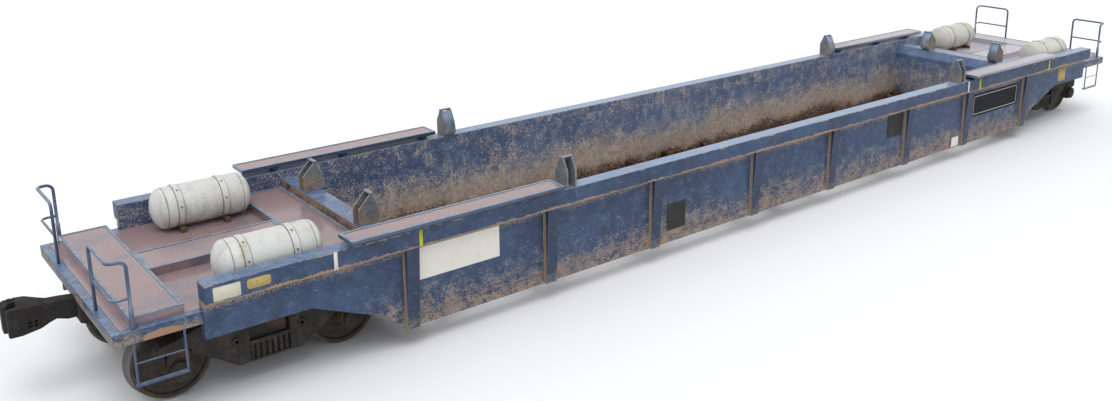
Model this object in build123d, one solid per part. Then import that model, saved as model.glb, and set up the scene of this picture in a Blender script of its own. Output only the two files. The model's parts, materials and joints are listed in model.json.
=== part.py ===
from build123d import *
import math
import os

os.makedirs("parts", exist_ok=True)

# Single-unit container well car, empty.  Millimetres.
# X runs along the car, Z is up, and the origin is under the car's middle at the flange tips.
# Each end is built on the -X side and mirrored, and each side on the -Y side.

# ---- side girders
GIRDER_END = 8480            # half the length of the top chords
OUTER_Y = 1500               # outer face of a top chord
INNER_Y = 1298               # inner face of a side, where the container slides past
CHORD_TOP = 1404
CHORD_BOTTOM = 1199
SHEET_Y = 1402               # outer face of the side sheet, set back from the chord
SILL_TOP = 400
GIRDER_BOTTOM = 249
# lower edge of a side from the near end to the middle: (x, z)
LOWER_EDGE = [(-8480, 821), (-7405, 821), (-6797, 559), (-6696, 539), (-6596, 483), (-6515, 400)]
SILL_KNEE_X = 6360           # where the lower edge reaches its deepest level
RIB_X = [-6279, -4412, -2727, -843, 843, 2727, 4412, 6279]
RIB_WIDTH = 155
RIB_FOOT_Y = 1438            # the ribs taper from the chord's face to this

# ---- end platforms
PLATFORM_END = 9294
PLATFORM_Y = 1379
DECK_TOP = 1110
FRAME_DEPTH = 128
SILL_FLANGE = 85             # width of the bars around the platform
DECK_SHEET = 10
WALK_TOP = 1205
EDGE_SHEET = 6               # flat edging on the walkways and running boards
EDGE_WIDTH = 32

# ---- well ends
BEAM_OUTER = 6560
BEAM_INNER = 6330
BEAM_TOP = 1306
BEAM_BOTTOM = DECK_TOP - DECK_SHEET
WELL_END = 6205              # half the clear length of the well
WALL_SHEET = 15

# ---- trucks
TRUCK_X = 7745
RAIL = 27                    # wheel treads above the flange tips
WHEEL_R = 400                # a 33-inch wheel, worn
FLANGE_R = WHEEL_R + RAIL
AXLE_Z = RAIL + WHEEL_R
WHEELBASE = 1829
WHEEL_BACK = 680             # inner face of each wheel from the middle
RIM_WIDTH = 146
JOURNAL_Y = 1003
JOURNAL_R = 80
BEARING_R = 125
BEARING_GAP = 0.05



def block(x0, x1, y0, y1, z0, z1):
    """Rectangular block between two opposite corners."""
    middle = Pos((x0 + x1) / 2, (y0 + y1) / 2, (z0 + z1) / 2)
    return middle * Box(abs(x1 - x0), abs(y1 - y0), abs(z1 - z0))


def outline_face(points, radius=0):
    """Closed outline, its corners rounded where a radius is given."""
    face = make_face(Polyline(*points, close=True))
    return fillet(face.vertices(), radius) if radius else face


def side_profile(points, y0, y1, radius=0):
    """Outline drawn in X and Z, thick from y0 to y1."""
    face = Plane.XZ * outline_face(points, radius)
    return Pos(0, max(y0, y1), 0) * extrude(face, amount=abs(y1 - y0))


def cross_profile(points, x0, x1):
    """Outline drawn in Y and Z, thick from x0 to x1."""
    face = Plane.YZ * outline_face(points)
    return Pos(min(x0, x1), 0, 0) * extrude(face, amount=abs(x1 - x0))


def plan_profile(points, z0, z1, radius=0):
    """Outline drawn in X and Y, thick from z0 to z1."""
    return Pos(0, 0, z0) * extrude(outline_face(points, radius), amount=z1 - z0)


def across(radius, length, x, y, z):
    """Round bar along Y, centred on the given point."""
    return Pos(x, y, z) * Rot(90, 0, 0) * Cylinder(radius, length)


def along(radius, length, x, y, z):
    """Round bar along X, centred on the given point."""
    return Pos(x, y, z) * Rot(0, 90, 0) * Cylinder(radius, length)


def other_side(shape):
    return mirror(shape, about=Plane.XZ)


def other_end(shape):
    return mirror(shape, about=Plane.YZ)


def both_sides(shapes):
    return shapes + [other_side(s) for s in shapes]


def both_ends(shapes):
    return shapes + [other_end(s) for s in shapes]


def save(name, shapes):
    """Write one node; its solids stay apart unless they were joined before."""
    solids = []
    for shape in shapes:
        solids += shape.solids()
    export_step(Compound(children=solids), f"parts/{name}.step")


# ======================================================================== side girders
save("top_chords", both_sides([block(-GIRDER_END, GIRDER_END, -OUTER_Y, -INNER_Y, CHORD_BOTTOM, CHORD_TOP)]))

sheet_edge = LOWER_EDGE + [(-x, z) for x, z in reversed(LOWER_EDGE)]
sheet_outline = sheet_edge + [(GIRDER_END, CHORD_BOTTOM), (-GIRDER_END, CHORD_BOTTOM)]
save("side_sheets", both_sides([side_profile(sheet_outline, -SHEET_Y, -INNER_Y)]))

knee = LOWER_EDGE[-1][0]
sill_outline = [(knee, SILL_TOP), (-SILL_KNEE_X, GIRDER_BOTTOM), (SILL_KNEE_X, GIRDER_BOTTOM),
                (-knee, SILL_TOP)]
save("side_sills", both_sides([side_profile(sill_outline, -SHEET_Y, -INNER_Y)]))

rib_outline = [(-SHEET_Y, GIRDER_BOTTOM), (-RIB_FOOT_Y, GIRDER_BOTTOM), (-OUTER_Y, CHORD_BOTTOM),
               (-SHEET_Y, CHORD_BOTTOM)]
ribs = [cross_profile(rib_outline, x - RIB_WIDTH / 2, x + RIB_WIDTH / 2) for x in RIB_X]
save("side_ribs", both_sides(ribs))

# ======================================================================== well floor
RAIL_LEDGE = 150
LEDGE_SHEET = 14
BEARER_TOP = GIRDER_BOTTOM + LEDGE_SHEET + 110
# cross-bearers: (centre x, width)
BEARERS = [(-6060, 200), (-4412, 120), (-2727, 120), (-843, 120), (0, 260), (843, 120), (2727, 120),
           (4412, 120), (6060, 200)]
save("floor_ledges", both_sides([block(-WELL_END, WELL_END, -INNER_Y, -INNER_Y + RAIL_LEDGE,
                                       GIRDER_BOTTOM, GIRDER_BOTTOM + LEDGE_SHEET)]))
BEARER_BOTTOM = GIRDER_BOTTOM + LEDGE_SHEET
save("floor_crossbearers", [block(x - w / 2, x + w / 2, -INNER_Y, INNER_Y, BEARER_BOTTOM, BEARER_TOP)
                            for x, w in BEARERS])

BRACE_END = 80               # half the length of a brace's cut end along the bearer's middle
BRACE_SHEET = 12
braces = []
for (xa, wa), (xb, wb) in zip(BEARERS[:4], BEARERS[1:5]):
    x0 = xa + wa / 2
    x1 = xb - wb / 2
    side = INNER_Y - 2 * BRACE_END
    crotch = x0 + side * (x1 - x0) / (INNER_Y - BRACE_END)
    arms = [(x0, INNER_Y), (x1, BRACE_END), (x1, -BRACE_END), (x0, -INNER_Y), (x0, -side), (crotch, 0),
            (x0, side)]
    braces.append(plan_profile(arms, BEARER_TOP - BRACE_SHEET, BEARER_TOP))
save("floor_braces", both_ends(braces))

PEDESTAL_H = 40
CONE_H = 45
pedestals = []
for x in (-6060, -75):
    pad = block(x - 75, x + 75, -1130 - 80, -1130 + 80, BEARER_TOP, BEARER_TOP + PEDESTAL_H)
    cone = Pos(x, -1130, BEARER_TOP + PEDESTAL_H + CONE_H / 2) * Cone(46, 24, CONE_H)
    pedestals.append(pad + cone)
save("container_pedestals", both_ends(both_sides(pedestals)))

# ======================================================================== well ends
beam_outline = [(-BEAM_OUTER, BEAM_TOP), (-BEAM_INNER, BEAM_TOP), (-WELL_END, 1175), (-WELL_END, BEAM_BOTTOM),
                (-BEAM_OUTER, BEAM_BOTTOM)]
save("bulkhead_beams", both_ends([side_profile(beam_outline, -INNER_Y, INNER_Y)]))
save("bulkhead_walls", both_ends([block(-WELL_END - WALL_SHEET, -WELL_END, -INNER_Y, INNER_Y,
                                        GIRDER_BOTTOM, BEAM_BOTTOM)]))

# ======================================================================== end platforms
FRAME_BOTTOM = DECK_TOP - FRAME_DEPTH
outer = -PLATFORM_END
inner = -PLATFORM_END + SILL_FLANGE
side_in = PLATFORM_Y - SILL_FLANGE
save("end_sills", both_ends([block(outer, inner, -PLATFORM_Y, PLATFORM_Y, FRAME_BOTTOM, DECK_TOP)]))
save("platform_side_bars", both_ends(both_sides([block(inner, -GIRDER_END, -PLATFORM_Y, -side_in,
                                                       FRAME_BOTTOM, DECK_TOP)])))

deck_half = [(inner, -side_in), (-GIRDER_END, -side_in), (-GIRDER_END, -INNER_Y), (-BEAM_OUTER, -INNER_Y)]
deck_outline = deck_half + [(x, -y) for x, y in reversed(deck_half)]
save("deck_plates", both_ends([plan_profile(deck_outline, DECK_TOP - DECK_SHEET, DECK_TOP)]))


def edging(x0, x1, y0, y1, top):
    """Flat strip all round the edge of a raised plate, its upper face at the given level."""
    low = top - EDGE_SHEET
    strip = block(x0, x1, y0, y1, low, top)
    return strip - block(x0 + EDGE_WIDTH, x1 - EDGE_WIDTH, y0 + EDGE_WIDTH, y1 - EDGE_WIDTH, low, top)


# raised walkways of one end: (x0, x1, half width)
CROSS_X = -7100
WALKWAYS = {"end": (-9114, -8620, 1300), "centre": (-8620, CROSS_X, 270),
            "bulkhead": (CROSS_X, -BEAM_OUTER, INNER_Y)}
edges = []
for name, (x0, x1, half) in WALKWAYS.items():
    save(f"{name}_walkways", both_ends([block(x0, x1, -half, half, DECK_TOP, WALK_TOP - EDGE_SHEET)]))
    edges.append(edging(x0, x1, -half, half, WALK_TOP))
save("walkway_edges", both_ends(edges))

# ======================================================================== underframe ends
SILL_HALF = 165
SILL_BOTTOM = 735
sill_top = DECK_TOP - DECK_SHEET
draft_outline = [(outer, SILL_BOTTOM + 40), (inner, SILL_BOTTOM), (-WELL_END - WALL_SHEET, SILL_BOTTOM),
                 (-WELL_END - WALL_SHEET, sill_top), (inner, sill_top), (inner, FRAME_BOTTOM),
                 (outer, FRAME_BOTTOM)]
save("draft_sills", both_ends([side_profile(draft_outline, -SILL_HALF, SILL_HALF)]))

bolster_outline = [(-INNER_Y, 900), (-SILL_HALF - 60, SILL_BOTTOM + 20), (-SILL_HALF, SILL_BOTTOM + 20),
                   (-SILL_HALF, sill_top), (-INNER_Y, sill_top)]
save("body_bolsters", both_ends(both_sides([cross_profile(bolster_outline, -TRUCK_X - 200, -TRUCK_X + 200)])))

# ======================================================================== couplers
# the cast body seen from above (x, y) and from the side (x, z)
COUPLER_PLAN = [(outer, -75), (-9480, -70), (-9560, -80), (-9640, -105), (-9800, -118), (-9915, -112),
                (-9915, -60), (-9800, -35), (-9800, 215), (-9700, 210), (-9600, 110), (-9540, 75),
                (outer, 75)]
COUPLER_SIDE = [(outer, 815), (-9380, 815), (-9480, 848), (-9540, 832), (-9620, 805), (-9800, 782),
                (-9915, 782), (-9915, 1062), (-9800, 1062), (-9600, 1046), (-9530, 1034), (-9420, 1026),
                (outer, 1010)]
CAST_ROUND = 10
HEAD_LOW = 782
HEAD_HIGH = 1062
# core openings in the side of the head: (x0, x1)
CORE_OPENINGS = [(-9742, -9700), (-9684, -9650)]
CORE_DEPTH = 45
# knuckle seen from above
KNUCKLE = [(-9800, 215), (-9880, 215), (-9930, 175), (-9935, 40), (-9895, 18), (-9862, 100), (-9800, 120)]
PIN_R = 22
body = plan_profile(COUPLER_PLAN, HEAD_LOW, HEAD_HIGH, CAST_ROUND)
body &= side_profile(COUPLER_SIDE, -250, 250, CAST_ROUND)
for x0, x1 in CORE_OPENINGS:
    for z0, z1 in ((838, 866), (876, 904)):
        body -= block(x0, x1, -200, CORE_DEPTH - 110, z0, z1)
knuckle = plan_profile(KNUCKLE, HEAD_LOW, HEAD_HIGH - 4, CAST_ROUND)
knuckle += Pos(-9836, 168, (HEAD_LOW + HEAD_HIGH) / 2) * Cylinder(PIN_R, HEAD_HIGH - HEAD_LOW + 24)
turned = Rot(0, 0, 180)      # a coupler meets another one turned half round
save("couplers", [body, turned * body])
save("coupler_knuckles", [knuckle, turned * knuckle])

# ======================================================================== air tanks
TANK_Y = 983
TANK_R = 239
TANK_Z = DECK_TOP + 18 + TANK_R
TANK_X0 = -8085
TANK_X1 = -7225
DOME = 135                   # depth of a dished end
KNUCKLE_R = 80               # its rolled edge
# a dished end is a shallow sphere with a rolled edge that meets the shell smoothly
neck = TANK_R - KNUCKLE_R
crown_r = (DOME ** 2 + neck ** 2 - KNUCKLE_R ** 2) / (2 * (DOME - KNUCKLE_R))
crown_x = DOME - crown_r
turn = math.atan2(neck, -crown_x)


def ring(centre_x, centre_y, radius, angle, side):
    """Point on an arc of the dished end, side +1 for the end towards +X."""
    base = TANK_X1 if side > 0 else TANK_X0
    return (base + side * (centre_x + radius * math.cos(angle)), centre_y + radius * math.sin(angle))


tank_edges = [Line((TANK_X0, TANK_R), (TANK_X1, TANK_R)), Line((TANK_X0 - DOME, 0), (TANK_X1 + DOME, 0))]
for side in (-1, 1):
    crown = [ring(crown_x, 0, crown_r, a, side) for a in (0, turn / 2, turn)]
    knuckle = [ring(0, neck, KNUCKLE_R, a, side) for a in (turn, (turn + math.pi / 2) / 2, math.pi / 2)]
    tank_edges += [ThreePointArc(*crown), ThreePointArc(*knuckle)]
tank = Pos(0, -TANK_Y, TANK_Z) * revolve(make_face(tank_edges), Axis.X)
save("air_tanks", both_ends(both_sides([tank])))

BAND_X = [-7940, -7435]
BAND_WIDTH = 75
BAND_SHEET = 6
bands = []
feet = []
for x in BAND_X:
    hoop = along(TANK_R + BAND_SHEET, BAND_WIDTH, x, -TANK_Y, TANK_Z)
    bands.append(hoop - along(TANK_R, BAND_WIDTH, x, -TANK_Y, TANK_Z))
    saddle = block(x - 30, x + 30, -TANK_Y - 150, -TANK_Y + 240, DECK_TOP, DECK_TOP + 60)
    feet.append(saddle - along(TANK_R + BAND_SHEET, 200, x, -TANK_Y, TANK_Z))
save("tank_bands", both_ends(both_sides(bands)))
save("tank_feet", both_ends(both_sides(feet)))

# ======================================================================== container corner guides
GUIDE_SHEET = 25
# plate on the end beam: (x, z)
END_GUIDE = [(-6540, BEAM_TOP), (-6340, BEAM_TOP), (-6285, 1350), (-6275, 1410), (-6360, 1640), (-6400, 1640),
             (-6540, 1490)]
plates = []
caps = []
for y in (-650, -785):
    plates.append(side_profile(END_GUIDE, y - GUIDE_SHEET / 2, y + GUIDE_SHEET / 2))
caps.append(block(-6402, -6358, -800, -635, 1640, 1662))
save("bulkhead_guide_plates", both_ends(both_sides(plates)))
save("bulkhead_guide_caps", both_ends(both_sides(caps)))

# plate on the chord: (y, z)
CHORD_GUIDE = [(-1482, CHORD_TOP), (-1482, 1606), (-1402, 1755), (-1335, 1755), (-1262, 1600), (-1240, 1500),
               (-1250, 1440), (-1300, CHORD_TOP)]
CHORD_GUIDE_X = [-4186, -4061]
plates = []
for x in CHORD_GUIDE_X:
    plates.append(cross_profile(CHORD_GUIDE, x - GUIDE_SHEET / 2, x + GUIDE_SHEET / 2))
save("chord_guide_plates", both_ends(both_sides(plates)))
save("chord_guide_caps", both_ends(both_sides([block(-4206, -4041, -1402, -1358, 1755, 1775)])))

# ======================================================================== running boards
BOARD_X0 = -7030
BOARD_X1 = -4330
BOARD_Y0 = -1620
BOARD_Y1 = -1304
BOARD_TOP = 1507
BOARD_PLATE = 26
BOARD_BASE = BOARD_TOP - EDGE_SHEET - BOARD_PLATE
save("running_boards", both_ends(both_sides([block(BOARD_X0, BOARD_X1, BOARD_Y0, BOARD_Y1, BOARD_BASE,
                                                   BOARD_TOP - EDGE_SHEET)])))
board_edge = edging(BOARD_X0, BOARD_X1, BOARD_Y0, BOARD_Y1, BOARD_TOP)
save("running_board_edges", both_ends(both_sides([board_edge])))
# a bracket stands on the chord and carries the board out past it
brackets = []
for x in (-6600, -5665, -4480):
    bracket_outline = [(-OUTER_Y, CHORD_TOP), (-1330, CHORD_TOP), (-1330, BOARD_BASE), (-1600, BOARD_BASE),
                       (-1600, BOARD_BASE - 15), (-OUTER_Y, CHORD_TOP + 25)]
    brackets.append(cross_profile(bracket_outline, x - 25, x + 25))
save("running_board_brackets", both_ends(both_sides(brackets)))

# ======================================================================== handrails and ladders
PIPE_R = 17
RAIL_TOP = 1781
RAIL_MID = 1417
RAIL_X = -9256
RAIL_Y = -1341
POST_Y = -712
POST_X = -9097
BEND_R = 70
top_path = FilletPolyline((RAIL_X, POST_Y, DECK_TOP), (RAIL_X, POST_Y, RAIL_TOP), (RAIL_X, RAIL_Y, RAIL_TOP),
                          (POST_X, RAIL_Y, RAIL_TOP), (POST_X, RAIL_Y, DECK_TOP), radius=BEND_R)
frame_pipe = sweep(Plane(origin=top_path @ 0, z_dir=top_path % 0) * Circle(PIPE_R), path=top_path)
mid_path = FilletPolyline((RAIL_X, POST_Y, RAIL_MID), (RAIL_X, RAIL_Y, RAIL_MID), (POST_X, RAIL_Y, RAIL_MID),
                          radius=BEND_R)
mid_pipe = sweep(Plane(origin=mid_path @ 0, z_dir=mid_path % 0) * Circle(PIPE_R * 0.8), path=mid_path)
socket = Pos(POST_X, RAIL_Y, DECK_TOP + 110) * Cylinder(PIPE_R + 6, 220)
save("handrails", both_ends(both_sides([frame_pipe + mid_pipe + socket])))

STEP_X0 = -9128
STEP_X1 = -8651
STEP_Y = -1379
STEP_BOTTOM = 547
STILE = 20
stiles = [block(x, x + STILE, STEP_Y, STEP_Y + 14, STEP_BOTTOM, FRAME_BOTTOM)
          for x in (STEP_X0, STEP_X1 - STILE)]
tread = block(STEP_X0, STEP_X1, STEP_Y, STEP_Y + 45, STEP_BOTTOM - 10, STEP_BOTTOM + 10)
rung = along(7, STEP_X1 - STEP_X0 - STILE, (STEP_X0 + STEP_X1) / 2, STEP_Y + 7, 775)
save("side_steps", both_ends(both_sides([stiles[0] + stiles[1] + tread + rung])))

# ======================================================================== plates on the right side
PLATE = 4
plate_y = (-SHEET_Y - PLATE, -SHEET_Y)
save("cover_plates", [block(-2499, -2170, *plate_y, 417, 777), block(2212, 2600, *plate_y, 777, 1140)])
save("number_boards", [block(-6190, -5120, *plate_y, 776, 1150), block(4070, 4270, *plate_y, 271, 431)])
# sign with a slanted edge towards the near end and rounded corners at the other: (x, z)
SIGN = [(4620, 1091), (4690, 696), (6015, 696), (6055, 715), (6070, 760), (6070, 1027), (6055, 1072),
        (6015, 1091)]
save("sign_boards", [side_profile(SIGN, *plate_y)])

# ======================================================================== trucks
FRAME_HALF = 75              # half the width of a side frame across the car
HALF_BASE = WHEELBASE / 2
WINDOW_HALF = 215
WINDOW_BOTTOM = 296
ROOF = 625                   # under the top of a journal opening
# right half of a cast side frame, from the middle of its top edge clockwise: (x, z)
HALF_FRAME = [(0, 810), (703, 810), (900, 745), (1065, 712), (1105, 675), (1110, 560), (1085, 520),
              (1045, 520), (1045, ROOF), (784, ROOF), (784, 583), (735, 545), (610, 455), (560, 430),
              (335, 272), (0, 272)]
WINDOW_TOP = 700
outline = HALF_FRAME + [(-x, z) for x, z in reversed(HALF_FRAME[1:-1])]
# guides for the bolster beside the window, standing proud of the frame: (x0, x1)
COLUMN = (WINDOW_HALF, 330)
COLUMN_PROUD = 12
FRAME_ROUND = 20
LUG_X = 345
LUG_Z = 545


def side_frame(y):
    """Cast frame of one side of a truck with its spring window."""
    frame = side_profile(outline, y - FRAME_HALF, y + FRAME_HALF, FRAME_ROUND)
    out = math.copysign(1, y)
    for side in (-1, 1):
        frame += block(side * COLUMN[0], side * COLUMN[1], y, y + out * (FRAME_HALF + COLUMN_PROUD), 290, 800)
        frame += across(46, 2 * (FRAME_HALF + 22), side * LUG_X, y, LUG_Z)
    window = [(-WINDOW_HALF, WINDOW_BOTTOM), (WINDOW_HALF, WINDOW_BOTTOM), (WINDOW_HALF, WINDOW_TOP),
              (-WINDOW_HALF, WINDOW_TOP)]
    frame -= side_profile(window, y - 200, y + 200, 5)
    for side in (-1, 1):
        frame -= across(20, 400, side * LUG_X, y, LUG_Z)
    return frame


truck_frames = [side_frame(-JOURNAL_Y), side_frame(JOURNAL_Y)]

# bolster with the pads of the spring groups, and the round plate the car rests on
PAD_BOTTOM = 465
PAD_TOP = 505
BOLSTER_TOP = 690
truck_bolster = block(-200, 200, -1040, 1040, PAD_TOP, BOLSTER_TOP)
truck_bolster += Pos(0, 0, BOLSTER_TOP + 20) * Cylinder(170, 40)
for side in (-1, 1):
    truck_bolster += block(-WINDOW_HALF, WINDOW_HALF, side * 928, side * 1088, PAD_BOTTOM, PAD_TOP)

SPRING_R = 24
SPRING_PITCH = 62
spring_height = PAD_BOTTOM - WINDOW_BOTTOM
spring_list = []
for y in (-1043, -963, 963, 1043):
    for i in range(-3, 4):
        coil = Cylinder(SPRING_R, spring_height)
        spring_list.append(Pos(i * SPRING_PITCH, y, WINDOW_BOTTOM + spring_height / 2) * coil)

# a brake beam hangs beside each axle, with a shoe in front of each tread
BEAM_X = (415, 457)
SHOE_X = (457, 496)
frame_in = JOURNAL_Y - FRAME_HALF
brake_list = []
for end_sign in (-1, 1):
    beam = block(end_sign * BEAM_X[0], end_sign * BEAM_X[1], -frame_in, frame_in, 415, 475)
    beam += block(end_sign * 205, end_sign * BEAM_X[0], -28, 28, 425, 465)
    for side in (-1, 1):
        beam += block(end_sign * BEAM_X[1], end_sign * SHOE_X[1], side * (WHEEL_BACK + 54),
                      side * (WHEEL_BACK + 138), 340, 545)
    brake_list.append(beam)

bearing_list = []
for x in (-HALF_BASE, HALF_BASE):
    for y in (-JOURNAL_Y, JOURNAL_Y):
        shell = across(BEARING_R, 150, x, y, AXLE_Z)
        adapter = block(x - 105, x + 105, y - FRAME_HALF - 8, y + FRAME_HALF + 8, AXLE_Z + 90, ROOF)
        bearing_list.append((shell + adapter) - across(JOURNAL_R + BEARING_GAP, 400, x, y, AXLE_Z))

WHEEL_SEAT_R = 95
# half section of a wheel: (radius, distance from its inner face)
WHEEL_SECTION = [(0, -12), (140, -12), (150, 22), (205, 60), (290, 68), (346, 46), (354, 0),
                 (FLANGE_R - 8, 0), (FLANGE_R, 12), (FLANGE_R - 4, 24), (WHEEL_R + 3, 40),
                 (WHEEL_R - 3, RIM_WIDTH), (WHEEL_R - 42, RIM_WIDTH), (WHEEL_R - 52, 104), (290, 98),
                 (205, 96), (152, 128), (140, 165), (0, 165)]
wheel_face = Plane.XZ * make_face(Polyline(*[(r, WHEEL_BACK + w) for r, w in WHEEL_SECTION], close=True))
wheel_solid = Rot(90, 0, 0) * revolve(wheel_face, Axis.Z)
axle_hole = across(WHEEL_SEAT_R, 3000, 0, 0, 0)
wheel = wheel_solid - axle_hole
axle_solid = across(WHEEL_SEAT_R, 2 * (JOURNAL_Y - 90), 0, 0, 0)
for y in (-JOURNAL_Y, JOURNAL_Y):
    axle_solid += across(JOURNAL_R, 180, 0, y, 0)
    axle_solid += across(105, 40, 0, math.copysign(JOURNAL_Y + 110, y), 0)

for end, centre_x in (("near", -TRUCK_X), ("far", TRUCK_X)):
    place = Pos(centre_x, 0, 0)
    save(f"truck_{end}_side_frames", [place * s for s in truck_frames])
    save(f"truck_{end}_bolster", [place * truck_bolster])
    save(f"truck_{end}_springs", [place * s for s in spring_list])
    save(f"truck_{end}_bearings", [place * s for s in bearing_list])
    save(f"truck_{end}_brake_beams", [place * s for s in brake_list])

WHEELSETS = [("near_outer", -TRUCK_X - HALF_BASE), ("near_inner", -TRUCK_X + HALF_BASE),
             ("far_inner", TRUCK_X - HALF_BASE), ("far_outer", TRUCK_X + HALF_BASE)]
for name, x in WHEELSETS:
    place = Pos(x, 0, AXLE_Z)
    save(f"wheels_{name}", [place * wheel, place * mirror(wheel, about=Plane.XZ)])
    save(f"axle_{name}", [place * axle_solid])
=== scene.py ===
# %% [markdown]
# # An empty container well car
# A well car carries shipping containers low between its trucks. The construction (girders, floor, trucks,
# wheels) comes as a fixed CAD frame, where every solid already has its real size and rides on its body.
# This lesson gives those solids their weathered finishes and adds the pieces that only the eye needs, such
# as weld beads, treads and coil springs.

import json
import math

import bpy
import bmesh
import numpy as np
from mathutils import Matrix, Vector

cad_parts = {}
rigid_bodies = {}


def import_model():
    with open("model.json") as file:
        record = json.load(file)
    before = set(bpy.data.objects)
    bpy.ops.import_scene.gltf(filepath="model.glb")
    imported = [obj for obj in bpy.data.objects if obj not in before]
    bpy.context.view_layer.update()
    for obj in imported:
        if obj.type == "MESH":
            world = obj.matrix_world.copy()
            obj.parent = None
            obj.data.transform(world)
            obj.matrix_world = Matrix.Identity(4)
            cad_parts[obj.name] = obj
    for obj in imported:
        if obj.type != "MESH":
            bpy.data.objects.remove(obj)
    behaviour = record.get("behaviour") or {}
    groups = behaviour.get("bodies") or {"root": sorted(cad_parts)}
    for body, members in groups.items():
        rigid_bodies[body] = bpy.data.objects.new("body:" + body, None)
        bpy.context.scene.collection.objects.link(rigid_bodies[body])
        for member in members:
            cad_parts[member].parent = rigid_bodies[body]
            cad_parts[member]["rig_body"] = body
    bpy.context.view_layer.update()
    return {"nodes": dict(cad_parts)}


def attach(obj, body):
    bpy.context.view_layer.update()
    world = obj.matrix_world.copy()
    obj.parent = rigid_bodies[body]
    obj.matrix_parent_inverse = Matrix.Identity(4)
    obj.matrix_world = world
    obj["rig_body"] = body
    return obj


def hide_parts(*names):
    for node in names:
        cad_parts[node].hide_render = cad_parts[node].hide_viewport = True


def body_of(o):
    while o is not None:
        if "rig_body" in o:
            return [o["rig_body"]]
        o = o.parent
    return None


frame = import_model()
nodes = frame["nodes"]

# %% [markdown]
# ## Building a finish from nodes
# A finish here is a small recipe: noise at several sizes says where paint has worn, height above the rails
# says where dirt settles, and the two are added and cut with a soft threshold. It could be written node by
# node in the editor, but a dozen finishes share the same few steps, so each step becomes a short Python
# call that adds one node and returns its output socket. Everything reads Object coordinates, so the marks
# stay on the steel.

# %% Sums and products of sockets
class Sums:
    """A material under construction. Each method adds one node and returns its output socket."""

    def __init__(self, name, roughness, specular):
        """A principled material whose plain numbers are set on the shader, with x, y and z of the point."""
        self.material = bpy.data.materials.new(name)
        self.material.use_nodes = True
        self.tree = self.material.node_tree
        self.shader = self.tree.nodes["Principled BSDF"]
        self.shader.inputs["Roughness"].default_value = roughness
        self.shader.inputs["Specular IOR Level"].default_value = specular
        place = self.tree.nodes.new("ShaderNodeTexCoord")
        split = self.tree.nodes.new("ShaderNodeSeparateXYZ")
        self.place = place.outputs["Object"]
        self.tree.links.new(self.place, split.inputs[0])
        self.x, self.y, self.z = split.outputs

    def put(self, value, socket):
        """A socket is linked and a plain number or colour is set."""
        if isinstance(value, bpy.types.NodeSocket):
            self.tree.links.new(value, socket)
        else:
            socket.default_value = value

    def math(self, operation, a, b=0.0, c=0.0):
        """One Math node on up to three sockets or numbers."""
        n = self.tree.nodes.new("ShaderNodeMath")
        n.operation = operation
        for value, socket in zip((a, b, c), n.inputs):
            self.put(value, socket)
        return n.outputs[0]

    def plus(self, *terms):
        """Sum of all terms."""
        total = terms[0]
        for term in terms[1:]:
            total = self.math("ADD", total, term)
        return total

    def times(self, *factors):
        """Product of all factors."""
        total = factors[0]
        for factor in factors[1:]:
            total = self.math("MULTIPLY", total, factor)
        return total

    def size(self, value):
        """The value without its sign."""
        return self.math("ABSOLUTE", value)

    def swing(self, noise, reach):
        """Noise from 0 to 1 turned into a shift of about reach each way."""
        return self.math("MULTIPLY_ADD", noise, 2 * reach, -reach)


print("sums:", [step for step in vars(Sums) if not step.startswith("_")])

# %% [markdown]
# Worn paint is noise with a hard or a soft edge. Blender's Noise texture gives the pattern and Map Range
# cuts it: a narrow range leaves sharp flecks, and a wide one leaves clouds. Scaling the coordinates first
# along one axis stretches the grain, as rain and rolling do.

# %% Noise, ramps and mixes
class Patterns(Sums):
    """Noise textures, and the steps that cut them and mix colours by them."""

    def stretched(self, x=1.0, y=1.0, z=1.0):
        """Object coordinates scaled along each axis, for grain that runs one way."""
        n = self.tree.nodes.new("ShaderNodeMapping")
        n.inputs["Scale"].default_value = (x, y, z)
        self.tree.links.new(self.place, n.inputs["Vector"])
        return n.outputs[0]

    def noise(self, scale, detail=6.0, rough=0.6, warp=0.0, where=None):
        """Noise from 0 to 1 with about scale bumps to the metre; detail and rough add ever finer grain."""
        n = self.tree.nodes.new("ShaderNodeTexNoise")
        for key, number in (("Scale", scale), ("Detail", detail), ("Roughness", rough), ("Distortion", warp)):
            n.inputs[key].default_value = number
        self.tree.links.new(where or self.place, n.inputs["Vector"])
        return n.outputs[0]

    def ramp(self, value, low, high, out_low=0.0, out_high=1.0):
        """value from low to high becomes out_low to out_high, clamped, with a smooth step between."""
        n = self.tree.nodes.new("ShaderNodeMapRange")
        n.interpolation_type = "SMOOTHSTEP"
        ends = (("From Min", low), ("From Max", high), ("To Min", out_low), ("To Max", out_high))
        for key, number in ends:
            n.inputs[key].default_value = number
        self.put(value, n.inputs["Value"])
        return n.outputs[0]

    def mix(self, mask, below, above):
        """Colour below where mask is 0, and colour above where it is 1."""
        n = self.tree.nodes.new("ShaderNodeMix")
        n.data_type = "RGBA"
        self.put(mask, n.inputs[0])
        for colour, socket in ((below, n.inputs[6]), (above, n.inputs[7])):
            self.put(colour if isinstance(colour, bpy.types.NodeSocket) else (*colour, 1.0), socket)
        return n.outputs[2]


print("patterns:", [step for step in vars(Patterns) if not step.startswith("_")])

# %% [markdown]
# Some wear depends on where a face is or which way it looks: tops fade, seams hold dirt. These last steps
# give such masks, and link the finished colour, roughness and bump to the shader. Vertex paint could hold
# the same masks, but the plain meshes have too few points for a sharp line.

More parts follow.
